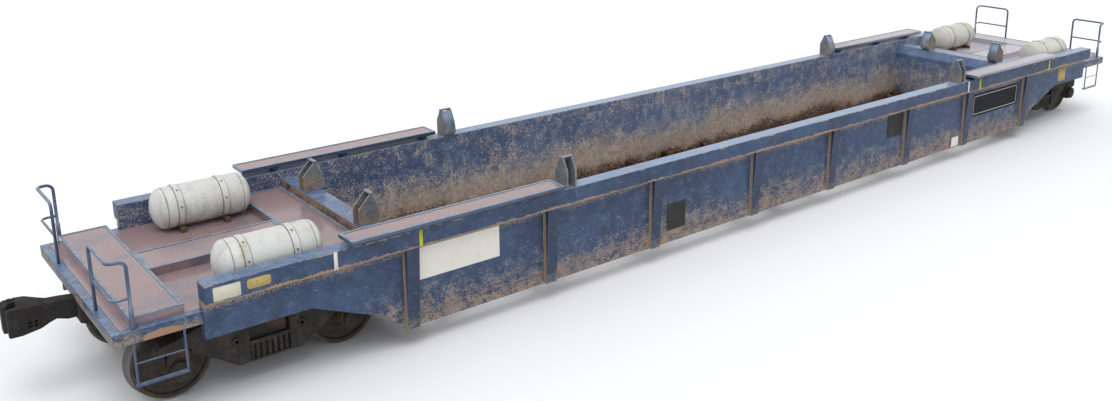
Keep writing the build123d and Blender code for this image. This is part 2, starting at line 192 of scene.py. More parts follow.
# %% Masks by direction and place, and the outputs
class Finish(Patterns):
    """The whole kit: sums, patterns, masks and the links to the shader."""

    def normal(self):
        """x, y and z of the direction that the face looks, in the piece's own coordinates."""
        g = self.tree.nodes.new("ShaderNodeNewGeometry")
        s = self.tree.nodes.new("ShaderNodeSeparateXYZ")
        self.tree.links.new(g.outputs["Normal"], s.inputs[0])
        return s.outputs

    def facing_up(self):
        """1 on faces that look up, 0 on walls and undersides."""
        return self.ramp(self.normal()[2], 0.35, 0.9)

    def facing_along(self):
        """1 on faces that look along the car, either way."""
        return self.ramp(self.size(self.normal()[0]), 0.7, 0.8)

    def near(self, coordinate, places, reach, core=0.0):
        """1 within core metres of the given values, falling to 0 at reach metres from the nearest of them."""
        gaps = [self.size(self.math("SUBTRACT", coordinate, p)) for p in places]
        nearest = gaps[0]
        for gap in gaps[1:]:
            nearest = self.math("MINIMUM", nearest, gap)
        return self.ramp(nearest, core, reach, 1.0, 0.0)

    def colour(self, socket):
        """Links the base colour."""
        self.put(socket, self.shader.inputs["Base Color"])

    def roughness(self, socket):
        """Links the roughness."""
        self.put(socket, self.shader.inputs["Roughness"])

    def bump(self, height, metres=0.001, strength=0.6):
        """Fine relief: height 1 stands metres above height 0, and strength softens the shading."""
        n = self.tree.nodes.new("ShaderNodeBump")
        n.inputs["Distance"].default_value = metres
        n.inputs["Strength"].default_value = strength
        self.tree.links.new(height, n.inputs["Height"])
        self.tree.links.new(n.outputs[0], self.shader.inputs["Normal"])


print("masks and outputs:", [step for step in vars(Finish) if not step.startswith("_")])

# %% [markdown]
# ## Colours of the car
# The paint is a chalky mid blue that has faded where the sun reaches it, and the near sky blue of its tops
# is that fading together with painted light from the sky. Under it the steel has rusted in two stages: a dry
# tan bloom, and a darker brown where water stands. Each colour gets a name once, instead of being typed into
# every material, so that pieces painted from one pot stay alike.

# %% Paint colours, as linear light
def srgb(r, g, b):
    """Screen values 0-255 to linear light, by the standard curve."""
    c = np.array([r, g, b]) / 255.0
    return tuple(np.where(c <= 0.04045, c / 12.92, ((c + 0.055) / 1.055) ** 2.4).tolist())


PAINT_DARK = srgb(40, 56, 84)
PAINT = srgb(54, 75, 108)
PAINT_PALE = srgb(108, 124, 142)
PAINT_IN_DARK = srgb(76, 95, 126)
PAINT_IN = srgb(100, 119, 150)
# the next three colour faces that look up: sun-faded blues, paler partly as painted light from the sky; the
# third pales them towards the far end, bleaching with a painted sheen of glancing light
PAINT_TOP = srgb(77, 100, 134)
TOP_PALE = srgb(110, 131, 161)
TOP_BLEACH_AND_SHEEN = srgb(152, 170, 196)
EDGE_BLUE = srgb(96, 116, 140)
SCUFF = srgb(124, 128, 128)
FLECK_PALE = srgb(176, 166, 150)
print("paint", [round(v, 3) for v in PAINT])

# %% [markdown]
# Rust runs from a dry pale tan through warmer browns to nearly black, and which of them shows depends on
# how long water stands there. One rust colour with noise would do on a small part, but on walls this large
# the eye looks for the change from dry to wet.

# %% Rust, from dry to wet
RUST_DRY = srgb(192, 174, 156)
TAN_DUSTY = srgb(178, 166, 156)
TAN_DAMP = srgb(154, 134, 116)
RUST_TAN = srgb(154, 134, 114)
RUST_WARM = srgb(146, 114, 88)
RUST_BARE = srgb(142, 118, 98)
RUST_BARE_DARK = srgb(88, 64, 50)
RUST_LINE = srgb(118, 84, 68)
RUST_SPOT = srgb(116, 82, 56)
RUST_WET = srgb(70, 49, 36)
RUST_DARK = srgb(54, 37, 27)
print("rust", [round(v, 3) for v in RUST_TAN])

# %% [markdown]
# The tread plate, the iron underneath, the tanks and the sign have colours of their own, none of them quite
# grey: worn steel leans to pink, old grease to brown, and the tanks' cream to green.

# %% Tread, iron, tanks and sign
TREAD_PINK = srgb(155, 127, 128)
TREAD_GAP = srgb(136, 112, 112)
TREAD_SMEAR = srgb(106, 106, 124)
TREAD_FLECK = srgb(112, 86, 76)
# the next two pale the tread towards the far deck: dust with painted sheen, then a painted sheen of light
# glancing off the far plates
TREAD_DUST_AND_SHEEN = srgb(176, 164, 168)
TREAD_GLANCING_SHEEN = srgb(206, 200, 210)
TREAD_JOINT = srgb(66, 58, 60)
SKIRT_PINK = srgb(138, 114, 116)
SKIRT_BLUE = srgb(98, 96, 114)
RIDGE_PINK = srgb(180, 152, 152)
RIDGE_SMEAR = srgb(140, 140, 154)
RIDGE_FLECK = srgb(140, 112, 102)
IRON = srgb(44, 42, 39)
IRON_DUST = srgb(64, 59, 52)
WHEEL_PLATE = srgb(68, 54, 42)
WHEEL_RIM = srgb(58, 52, 46)
WHEEL_RIM_DUST = srgb(78, 66, 54)
WHEEL_TREAD = srgb(96, 92, 88)
WHEEL_HUB = srgb(40, 36, 33)
CREAM = srgb(211, 211, 207)
CREAM_FAR = srgb(198, 192, 172)
CREAM_DIRT = srgb(178, 171, 152)
TANK_SPECK = srgb(140, 131, 112)
TANK_SEAM = srgb(84, 80, 72)
SIGN_DARK = srgb(17, 20, 27)
SIGN_CHALKY = srgb(28, 31, 38)
SIGN_SPECK = srgb(84, 86, 88)
print("tread", [round(v, 3) for v in TREAD_PINK], "iron", [round(v, 3) for v in IRON])

# %% [markdown]
# ## Weathered paint
# One recipe serves every painted piece. Rust starts as small sharp flecks and only later joins up, so a
# fine noise is cut at a hard threshold, and everything else only shifts how much of it passes: the cover of
# the whole piece, the wear that rises from the ground, and clusters from a coarser noise. Four noises are
# made once for each finish, so that all its layers wear in the same places.

# %% Four noises for each painted finish
CUT = 0.70                   # a fleck shows where fine noise plus cover passes this
HAIR = 0.001                 # metres either side of a hard line between two finishes


class Paint(Finish):
    """A finish with the noises that its layers share: fine pits, patches, slow drift and level streaks."""

    def __init__(self, name, grain):
        """grain is the scale of the finest flecks."""
        super().__init__(name, roughness=0.5, specular=0.42)
        self.pits = self.noise(grain, 6.0, 0.72)
        self.patches = self.noise(6.5, 6.0, 0.66, 0.2)
        self.drift = self.noise(1.2, 4.0, 0.55)
        self.streak = self.noise(44.0, 7.0, 0.74, where=self.stretched(0.32, 0.32, 1.15))


print("a fleck shows past", CUT)

# %% [markdown]
# The coat itself is two blues in a broad mottle, and fine level scratches let a paler coat through. Faces
# that line the well are told apart by their distance from the middle of the car: there the paint has faded
# more, and the more so towards the far end. A second material for those faces would mean cutting the
# meshes.

# %% The coat and its scuffs
INNER_WALL = 1.3             # faces nearer the middle than this line the well


def inside_of_well(f, well):
    """1 where a face lines the well: where |y| is small on a "side" piece, and all over an "end" piece."""
    if well == "side":
        return f.ramp(f.size(f.y), INNER_WALL - HAIR, INNER_WALL + HAIR, 1.0, 0.0)
    return 1.0 if well == "end" else None


def paint_coat(f, paint, inside):
    """Two paints mixed by patches and drift, faded inside the well, with pale level scratches over them."""
    mottle = f.ramp(f.plus(f.times(f.patches, 0.6), f.times(f.drift, 0.4)), 0.38, 0.62)
    coat = f.mix(mottle, *paint)
    if inside is not None:
        fading = f.ramp(f.plus(f.x, f.swing(f.drift, 2.0)), -7.0, 1.0)
        faded = f.mix(mottle, f.mix(fading, PAINT, PAINT_IN_DARK), f.mix(fading, PAINT_IN_DARK, PAINT_IN))
        coat = f.mix(inside, coat, faded)
    scratches = f.ramp(f.plus(f.streak, f.swing(f.patches, 0.10)), 0.55, 0.70, 0.0, 0.75)
    return f.mix(scratches, coat, PAINT_PALE)


def climbing_wear(f, coat, climb, inside):
    """Wear that rises from the ground and thins out between the two heights of climb, along a wavy front.

    Gives the coat with level grey scuffs, which stay out of the well, and the extra cover for the flecks.
    """
    front = f.plus(f.z, f.swing(f.drift, 0.22))
    grain = f.noise(56.0, 7.0, 0.76, where=f.stretched(0.4, 0.4, 1.0))
    lower = f.ramp(front, climb[0], climb[1] + 0.15, 0.15, -0.02)
    scuffs = f.ramp(f.plus(grain, f.swing(f.patches, 0.16), lower), 0.62, 0.70, 0.0, 0.7)
    if inside is not None:
        scuffs = f.times(scuffs, f.math("SUBTRACT", 1.0, inside))
    return f.mix(scuffs, coat, SCUFF), f.ramp(front, *climb, 0.17, 0.0)


print("faces within", INNER_WALL, "m of the middle line the well")

# %% [markdown]
# Inside the well the rust changes with height. It is a dry pale tan above, damp and dusty below that,
# spotted with brown lower down, and dark brown at the foot, where water stands. Upright runs and round
# blots break up the bands, so that no line between them is straight. It could be brushed by hand on an
# unwrapped image, but a recipe by height needs no unwrapping and runs on from one wall to the next.

# %% Rust inside the well
def well_level(f):
    """Height in the well, pushed up and down by drift and patches so that the bands wander."""
    return f.plus(f.z, f.swing(f.drift, 0.28), f.swing(f.patches, 0.16))


def well_rust(f, rust, inside, level, blots):
    """The rust's colour by level: dry tan over damp tan, then spots, then wet brown in the blots."""
    dry = f.ramp(f.plus(level, f.swing(f.patches, 0.3)), 0.70, 1.05)
    damp = f.mix(f.ramp(f.noise(22.0, 8.0, 0.76), 0.42, 0.60), TAN_DAMP, TAN_DUSTY)
    rust = f.mix(inside, rust, f.mix(dry, damp, RUST_DRY))
    lower = f.ramp(level, 0.25, 0.85, 0.10, -0.06)
    spotted = f.plus(f.noise(44.0, 6.0, 0.72), f.swing(f.patches, 0.10), lower)
    rust = f.mix(f.times(f.ramp(spotted, 0.60, 0.64, 0.0, 0.85), inside), rust, RUST_SPOT)
    soft = f.plus(f.times(f.pits, 0.5), f.times(blots, 0.5), f.ramp(level, 0.26, 0.62, 0.16, -0.08))
    return f.mix(f.times(f.ramp(soft, 0.58, 0.66), inside), rust, RUST_WET)


def well_cover(f, inside, level, blots):
    """Extra cover in the well: more of it low down, in upright runs and in blots."""
    runs = f.noise(16.0, 4.0, 0.6, where=f.stretched(1.0, 1.0, 0.07))
    bloom = f.plus(f.ramp(level, 0.60, 1.15, 0.19, 0.075), f.ramp(runs, 0.56, 0.68, 0.0, 0.06),
                   f.swing(blots, 0.28))
    return f.times(bloom, inside)


print("dry rust", [round(v, 2) for v in RUST_DRY], "and wet", [round(v, 2) for v in RUST_WET])

# %% [markdown]
# Some pieces have wear of their own. Water that drips from the top chord eats a ragged line into the sheet
# under it, a shunter's boot wears a stretch of the end platform bare, and a weld shows as a thin brown
# line. Each such mark is a function that takes the colour so far and one place, and gives the colour with
# the mark. One large recipe with every mark in it would also do, but a list of marks lets each piece have
# only its own.

# %% Marks along a line
HANG = 0.17                  # how far flecks hang below a rust line


def rust_line(f, colour, height):
    """Flaking line on the outer face at this height, its half-width w from noise: it shows where |z - h| < w.

    A band of flecks hangs below it and fades out downwards.
    """
    outside = f.ramp(f.size(f.y), INNER_WALL + HAIR, INNER_WALL + 3 * HAIR)
    away = f.size(f.plus(f.z, -height, f.swing(f.noise(15.0, 8.0, 0.76), 0.05)))
    half_width = f.ramp(f.noise(3.0, 7.0, 0.68), 0.36, 0.62, 0.001, 0.021)
    flake = f.times(f.ramp(f.math("SUBTRACT", half_width, away), 0.0, 0.004), outside)
    below = f.times(f.ramp(f.z, height - HANG, height - 0.005, 0.0, 0.26),
                    f.ramp(f.z, height, height + 0.004, 1.0, 0.0))
    hanging = f.ramp(f.plus(f.pits, below, f.swing(f.drift, 0.12)), CUT - 0.06, CUT + 0.06, 0.0, 0.8)
    colour = f.mix(f.times(hanging, outside, f.ramp(below, 0.0, 0.02)), colour, RUST_TAN)
    return f.mix(flake, colour, f.mix(f.ramp(f.pits, 0.42, 0.62), RUST_WARM, RUST_TAN))


def chipped_edge(f, colour, height):
    """Bare chips along an upper edge at this height, up to 24 mm deep, with a nibbled outline."""
    depth = f.ramp(f.noise(4.6, 6.0, 0.66), 0.50, 0.66, 0.0, 0.024)
    reach = f.plus(f.z, f.swing(f.noise(26.0, 6.0, 0.72), 0.014), -height)
    return f.mix(f.ramp(f.plus(reach, depth), -0.001, 0.003), colour, RUST_TAN)


def weld_line(f, colour, height):
    """Broken brown line 20 mm wide at this height."""
    line = f.times(f.near(f.z, [height], 0.010, 0.003), f.ramp(f.noise(14.0, 4.0, 0.6), 0.44, 0.56, 0.1, 0.8))
    return f.mix(line, colour, RUST_LINE)


print("flecks hang", HANG, "m below a rust line")

# %% [markdown]
# Other marks cover an area: the ragged patch on the platform's edge, the sides of each rib near its root,
# the ends of the bulkhead beams, and the studded foot of a rib. An area is a product of ramps, one for each
# of its bounds, where a boolean cut in the mesh would leave a straight line that paint never has.

# %% Marks over an area
def bare_patch(f, colour, place):
    """Ragged bare patch on one side, at (x, reach along x, height): three ramps plus a noise, cut at 0.6."""
    x, reach, height = place
    ragged = f.plus(f.near(f.x, [x], reach, 0.0), f.ramp(f.z, height - 0.03, height + 0.03, 0.22, -0.6),
                    f.swing(f.noise(13.0, 7.0, 0.72), 0.5), f.ramp(f.y, -1.34, -1.30, 0.0, -2.0))
    return f.mix(f.ramp(ragged, 0.60, 0.64), colour, f.mix(f.ramp(f.pits, 0.44, 0.6), RUST_WARM, RUST_TAN))


def rusted_flanks(f, colour, side):
    """Rust on the faces that look along the car, out to this distance |y| from its middle: a rib's root."""
    root = f.ramp(f.plus(f.size(f.y), f.swing(f.pits, 0.03)), side, side + 0.006, 1.0, 0.0)
    return f.mix(f.times(f.facing_along(), root, f.ramp(f.pits, 0.34, 0.48)), colour, RUST_TAN)


def bare_ends(f, colour, start):
    """Bare rust, darker below, on the faces that look along the car beyond this distance from its middle."""
    ends = f.times(f.facing_along(), f.ramp(f.size(f.x), start - HAIR, start + HAIR))
    lower = f.plus(f.patches, f.ramp(f.z, 1.20, 1.30, 0.10, -0.06), f.swing(f.pits, 0.2))
    bare = f.mix(f.ramp(lower, 0.48, 0.62), RUST_BARE, RUST_BARE_DARK)
    return f.mix(f.times(ends, f.ramp(f.pits, 0.30, 0.36)), colour, bare)


STUD_PITCH = 0.030


def studded_foot(f, colour, heights):
    """Rusty studs in a slanting lattice between two heights: sin(x + z) sin(x - z), with x and z in turns."""
    along, rise = f.times(f.x, 2 * math.pi / STUD_PITCH), f.times(f.z, 2 * math.pi / STUD_PITCH)
    lattice = f.times(f.math("SINE", f.plus(along, rise)), f.math("SINE", f.math("SUBTRACT", along, rise)))
    low, high = heights
    band = f.times(f.ramp(f.z, low, low + 0.002), f.ramp(f.z, high - 0.002, high, 1.0, 0.0))
    return f.mix(f.times(f.ramp(lattice, 0.25, 0.45), band, 0.55), colour, RUST_TAN)


print("studs every", STUD_PITCH, "m")

# %% [markdown]
# Tops fade in the sun, so faces that look up get their own two paler blues, with level streaks and pale
# flecks. Their paleness is partly painted light from the sky, and their bleaching towards the far end is
# partly a painted sheen of glancing light. Then the layers are put together, in the order in which they would
# be
# painted: coat, scuffs, rust, marks and tops. Rust is rougher than paint, and its pits are real enough for a
# bump.

# %% The whole weathered recipe
def lit_and_faded_top(f, top, cover):
    """Two pale blues in streaks: paint faded by the sun, and painted light from the sky. They pale further
    where x is high, which is bleaching with a painted sheen of glancing light, and they have flecks wherever
    the walls have them.
    """
    broad = f.noise(12.0, 8.0, 0.72, where=f.stretched(0.55, 0.55, 1.0))
    # the top blues are sun-faded paint, paler partly as painted light from the sky
    lid = f.mix(f.ramp(f.plus(f.times(broad, 0.6), f.times(f.streak, 0.4)), 0.42, 0.60), *top)
    # paler towards high x: sun bleaching with a painted sheen of glancing light
    lid = f.mix(f.ramp(f.plus(f.x, f.swing(f.drift, 3.0)), -8.0, -1.0, 0.0, 0.6), lid, TOP_BLEACH_AND_SHEEN)
    return f.mix(f.ramp(f.plus(f.pits, cover), CUT - 0.01, CUT + 0.03, 0.0, 0.9), lid, FLECK_PALE)


def weathered(name, chips=0.03, climb=None, well=None, marks=(), paint=(PAINT_DARK, PAINT),
              top=(PAINT_TOP, TOP_PALE), up=(0.35, 0.9), grain=66.0):
    """Paint that wears to rust: a fleck shows where pits + cover > CUT.

    chips is the cover of the whole piece, and climb the two heights between which wear from the ground thins
    out. well is "side" or "end" on a piece that lines the well. marks lists a function and a place for each
    mark of the piece's own. top colours the faces that look up, faded blues that are partly painted light
    from the sky, and fades in over up, a range of normal z.
    """
    f = Paint(name, grain)
    inside = inside_of_well(f, well)
    coat = paint_coat(f, paint, inside)
    cover = f.plus(f.swing(f.patches, 0.22), chips)
    if climb:
        coat, rising = climbing_wear(f, coat, climb, inside)
        cover = f.plus(cover, rising)
    rust = f.mix(f.ramp(f.noise(24.0, 6.0, 0.7), 0.48, 0.64), RUST_TAN, RUST_WARM)
    if well:
        level, blots = well_level(f), f.noise(30.0, 7.0, 0.74, 0.4)
        rust = well_rust(f, rust, inside, level, blots)
        cover = f.plus(cover, well_cover(f, inside, level, blots))
    rusted = f.ramp(f.plus(f.pits, cover), CUT - 0.01, CUT + 0.03)
    if well:
        soaked = f.times(f.ramp(level, 0.16, 0.30, 1.0, 0.0), inside)
        rusted = f.math("MAXIMUM", rusted, soaked)
    colour = f.mix(rusted, coat, rust)
    for mark, place in marks:
        colour = mark(f, colour, place)
    lifted = f.ramp(f.normal()[2], *up)
    # faces that look up take the top blues, which hold painted sky light as well as fading
    f.colour(f.mix(lifted, colour, lit_and_faded_top(f, top, cover)))
    smoother = f.times(lifted, f.ramp(rusted, 0.0, 1.0, -0.24, -0.1))
    f.roughness(f.plus(f.ramp(rusted, 0.0, 1.0, 0.5, 0.85), smoother))
    f.bump(f.plus(f.times(rusted, -0.5), f.times(f.pits, 0.6)), 0.0012, 0.4)
    return f.material


print("layers: coat, scuffs, rust, marks, tops")

# %% [markdown]
# ## Plain steel
# Cast and rusted steel needs only two or three colours laid over one another in noise patches. Iron,
# springs, labels and bolts all share one recipe, because they differ only in their colours and in the size
# of the patches.

# %% Recipe for steel
def patched(name, base, dust, scale=9.0, roughness=0.75, level=0.55, glow=None):
    """Two colours in noise patches. glow is a third, warmer one for rust that has bled through in places."""
    f = Finish(name, roughness, 0.3)
    patch = f.noise(scale, 8.0, 0.68, 0.3)
    fine = f.noise(scale * 9, 5.0, 0.65)
    dusty = f.ramp(f.plus(patch, f.times(f.swing(fine, 0.5), 0.5)), level - 0.10, level + 0.10)
    colour = f.mix(dusty, base, dust)
    if glow:
        bled = f.ramp(f.plus(f.noise(scale * 0.4, 5.0, 0.6), f.swing(fine, 0.1)), 0.5, 0.66)
        colour = f.mix(bled, colour, glow)
    f.colour(colour)
    f.bump(fine, 0.0015, 0.6)
    return f.material


print("plain steel: two colours, or three where rust has bled through")

# %% [markdown]
# ## Tread plate finish
# The tread plate is steel worn to a pinkish shine by boots, with blue-grey smears where paint is left. It
# pales towards the far deck, with dust and with a painted sheen of the light that glances off it. A metal
# shader would mirror the sky and lose the pink, so it is a plain surface under a thin clear coat, which gives
# the polish that paint and rust don't have.

# %% Recipes for the tread plate and its ridges
class Tread(Finish):
    """Steel polished under a thin coat, with the smears and fine grain that plate and ridges share."""

    def __init__(self, name):
        """The smears are a little longer along the car than across it."""
        super().__init__(name, roughness=0.34, specular=0.5)
        self.shader.inputs["Coat Weight"].default_value = 0.7
        self.shader.inputs["Coat Roughness"].default_value = 0.12
        self.smear = self.noise(2.6, 7.0, 0.66, 0.5, where=self.stretched(0.7, 1.0, 1.0))
        self.fine = self.noise(70.0, 6.0, 0.7)

    def smeared(self, tone, smear_colour):
        """Blue-grey smears over the tone."""
        return self.mix(self.ramp(self.plus(self.smear, self.swing(self.fine, 0.2)), 0.50, 0.66, 0.0, 0.7),
                        tone, smear_colour)

    def dusty(self, tone, where=1.0):
        """Dust with a painted sheen that thickens along the car, where asked, and a painted sheen of glancing
        light that pales the plates of its far end.
        """
        # dust with painted sheen, more of it towards high x
        dust = self.ramp(self.plus(self.x, self.swing(self.smear, 4.0)), -7.0, 6.0, 0.0, 0.6)
        tone = self.mix(self.times(dust, where), tone, TREAD_DUST_AND_SHEEN)
        # painted sheen of light glancing off the far plates
        far = self.ramp(self.plus(self.x, self.swing(self.smear, 2.0)), 3.0, 7.5, 0.0, 0.7)
        return self.mix(far, tone, TREAD_GLANCING_SHEEN)


JOINT_X = 7.73               # where two plates of each deck meet


def tread_plate(name, skirt=(SKIRT_PINK, SKIRT_BLUE)):
    """Pinkish worn steel with smears, flecks of rust and dark plate joints. skirt colours its sides."""
    f = Tread(name)
    up = f.facing_up()
    tone = f.mix(f.times(f.ramp(f.fine, 0.40, 0.60), up), TREAD_GAP, TREAD_PINK)
    tone = f.smeared(tone, TREAD_SMEAR)
    tone = f.mix(f.ramp(f.plus(f.fine, f.swing(f.smear, 0.16)), 0.66, 0.72, 0.0, 0.8), tone, TREAD_FLECK)
    sides = f.mix(f.ramp(f.plus(f.smear, f.swing(f.fine, 0.3)), 0.42, 0.6), *skirt)
    # dust and painted sheen on the faces that look up
    tone = f.dusty(f.mix(up, sides, tone), up)
    joints = f.times(f.near(f.size(f.x), [JOINT_X], 0.006, 0.002), f.ramp(f.z, 1.12, 1.13, 0.75, 0.0))
    f.colour(f.mix(joints, tone, TREAD_JOINT))
    f.bump(f.fine, 0.0012, 0.3)
    return f.material


def tread_ridge(name):
    """The raised lenses, rubbed paler than the plate, with the same smears."""
    f = Tread(name)
    # the plate's dust and painted sheen over the ridges
    tone = f.dusty(f.smeared(RIDGE_PINK, RIDGE_SMEAR))
    f.colour(f.mix(f.ramp(f.fine, 0.56, 0.70, 0.0, 0.6), tone, RIDGE_FLECK))
    return f.material


print("plates meet at", JOINT_X, "m from the middle")

# %% [markdown]
# ## Tanks, wheels and the sign
# The tank's seams hold dirt, which the recipe finds by distance along the car, and more dirt runs down the
# shell from them. The seams could be separate dark rings, but a ring would float above the groove, and dirt
# has no edge.

# %% Recipe for tanks
TANK_ENDS = (-8.085, -7.225)
BAND_X = (-7.940, -7.435)
BAND_HALF = 0.0375
TANK_SEAMS = [-x for x in TANK_ENDS] + [-x + edge for x in BAND_X for edge in (-BAND_HALF, BAND_HALF)]


def tank_paint(name):
    """Cream paint with greenish dirt that gathers low on the shell, runs down it, and fills the seams."""
    f = Finish(name, roughness=0.42, specular=0.4)
    run = f.noise(7.0, 7.0, 0.66, where=f.stretched(1.0, 1.0, 0.3))
    fine = f.noise(44.0, 8.0, 0.72)
    low = f.ramp(f.z, 1.16, 1.48, 0.07, 0.0)
    dirt = f.ramp(f.plus(f.times(run, 0.6), f.times(fine, 0.4), low), 0.49, 0.68)
    colour = f.mix(f.ramp(f.x, -2.0, 6.0, 0.0, 0.4), f.mix(dirt, CREAM, CREAM_DIRT), CREAM_FAR)
    colour = f.mix(f.ramp(f.plus(fine, low), 0.66, 0.74, 0.0, 0.45), colour, TANK_SPECK)
    along = f.size(f.x)
    beside = f.times(f.near(along, TANK_SEAMS, 0.030, 0.004), f.ramp(f.plus(run, low), 0.44, 0.62, 0.0, 0.5))
    colour = f.mix(beside, colour, CREAM_DIRT)
    within = f.times(f.near(along, TANK_SEAMS, 0.0050, 0.0022), f.ramp(fine, 0.30, 0.44, 0.4, 0.9))
    f.colour(f.mix(within, colour, TANK_SEAM))
    f.bump(fine, 0.0008, 0.3)
    return f.material


print("tank seams at", [round(x, 4) for x in sorted(TANK_SEAMS)], "m either side of the middle")

# %% [markdown]
# A wheel is told into hub, plate, rim and tread by distance from its centre, as a painter would mask it
# with rings. Separate materials for those zones would again need cuts in the mesh.

# %% Recipe for wheels
WHEELSETS = {"near_outer": -8.6595, "near_inner": -6.8305, "far_inner": 6.8305, "far_outer": 8.6595}
AXLE_Z = 0.427
HUB_R = 0.112
PLATE_R = 0.327
RIM_R = 0.3945


def rolled_wheel(name):
    """Steel wheel in rings of radius r = sqrt(dx^2 + dz^2) from the nearest axle.

    From the middle outwards they are the hub, the oily plate, the scaled rim and the bright tread.
    """
    f = Finish(name, 0.6, 0.35)
    along = f.size(f.x)
    dx = f.math("MINIMUM", *[f.size(f.math("SUBTRACT", along, x)) for x in WHEELSETS.values() if x > 0])
    dz = f.math("SUBTRACT", f.z, AXLE_Z)
    r = f.math("SQRT", f.plus(f.times(dx, dx), f.times(dz, dz)))
    patch = f.noise(14.0, 7.0, 0.68, 0.3)
    plate = f.mix(f.ramp(patch, 0.42, 0.62), IRON, WHEEL_PLATE)
    rim = f.mix(f.ramp(patch, 0.44, 0.6), WHEEL_RIM, WHEEL_RIM_DUST)
    colour = f.mix(f.ramp(r, PLATE_R - 0.005, PLATE_R + 0.005), plate, rim)
    colour = f.mix(f.ramp(r, RIM_R - 0.0025, RIM_R + 0.0025), colour, WHEEL_TREAD)
    f.colour(f.mix(f.ramp(r, HUB_R - 0.008, HUB_R + 0.008, 1.0, 0.0), colour, WHEEL_HUB))
    f.bump(f.noise(80.0, 5.0, 0.65), 0.0012, 0.5)
    return f.material


print("rings of a wheel change at", HUB_R, PLATE_R, "and", RIM_R, "m from its axle")

# %% [markdown]
# The sign is a dark field gone slightly chalky, with pale specks where stones have hit it. It stays blank,
# so two dark tones and a fleck are all that it needs.

# %% Recipe for the sign
def sign_paint(name):
    """Dark sign field, slightly chalky, with pale specks."""
    f = Finish(name, roughness=0.6, specular=0.15)
    fine = f.noise(50.0, 6.0, 0.7)
    broad = f.noise(5.0, 6.0, 0.66)
    tone = f.mix(f.ramp(broad, 0.4, 0.64), SIGN_DARK, SIGN_CHALKY)
    f.colour(f.mix(f.ramp(f.plus(fine, f.swing(broad, 0.1)), 0.68, 0.72, 0.0, 0.5), tone, SIGN_SPECK))
    f.bump(fine, 0.0008, 0.3)
    return f.material


print("sign tones:", [round(v, 3) for v in SIGN_DARK], [round(v, 3) for v in SIGN_CHALKY])

# %% [markdown]
# ## All the finishes
# Each finish is one call with its own numbers. The heights in the marks are places on the CAD pieces: the
# line under the top chord, the chord's upper edge, the root and the foot of a rib, and the bare ends of the
# bulkhead beams.

# %% Painted finishes
# each top pair below is paler than its paint, partly as painted light on the faces that look up
finishes = {
    "sheet": weathered("sheet_paint", 0.035, (0.25, 0.95), "side", [(rust_line, 1.199), (weld_line, 0.4)]),
    "chord": weathered("chord_paint", 0.06, None, "side", [(rust_line, 1.212), (chipped_edge, 1.403)]),
    "sill": weathered("sill_paint", 0.06, (0.2, 0.7), "side"),
    # the ribs' blues are darker than the sheet's, partly as painted shade on their outer faces, which tilt
    # slightly down
    "rib": weathered("rib_paint", -0.03, (0.1, 0.5), None,
                     [(rusted_flanks, 1.448), (studded_foot, (0.262, 0.372))],
                     paint=(srgb(36, 49, 74), srgb(44, 59, 86))),
    "wall": weathered("wall_paint", 0.02, None, "end"),
    "beam": weathered("beam_paint", 0.10, None, None, [(bare_ends, 6.55)], paint=(PAINT_IN_DARK, PAINT_IN),
                      top=(srgb(64, 88, 124), srgb(100, 124, 158)), up=(0.90, 0.96)),
    "platform": weathered("platform_paint", 0.06, (0.93, 1.16), None, [(bare_patch, (-8.86, 0.34, 1.05))]),
    "trim": weathered("trim_paint", 0.05),
    "pipe": weathered("pipe_paint", 0.07, paint=(srgb(60, 76, 102), srgb(78, 94, 120)),
                      top=(srgb(96, 112, 138), srgb(128, 142, 160))),
    "guide": weathered("guide_paint", 0.13, (1.25, 1.6), paint=(srgb(84, 93, 104), srgb(110, 117, 124)),
                       top=(srgb(92, 102, 114), srgb(124, 132, 140)), grain=70.0),
    "guide_face": weathered("guide_face_paint", 0.09, paint=(srgb(94, 106, 122), srgb(152, 158, 162)),
                            grain=90.0),
    "edging": weathered("edging_paint", 0.06, paint=(srgb(82, 88, 96), EDGE_BLUE),
                        top=(EDGE_BLUE, srgb(140, 152, 166))),
}
print("painted finishes:", len(finishes))

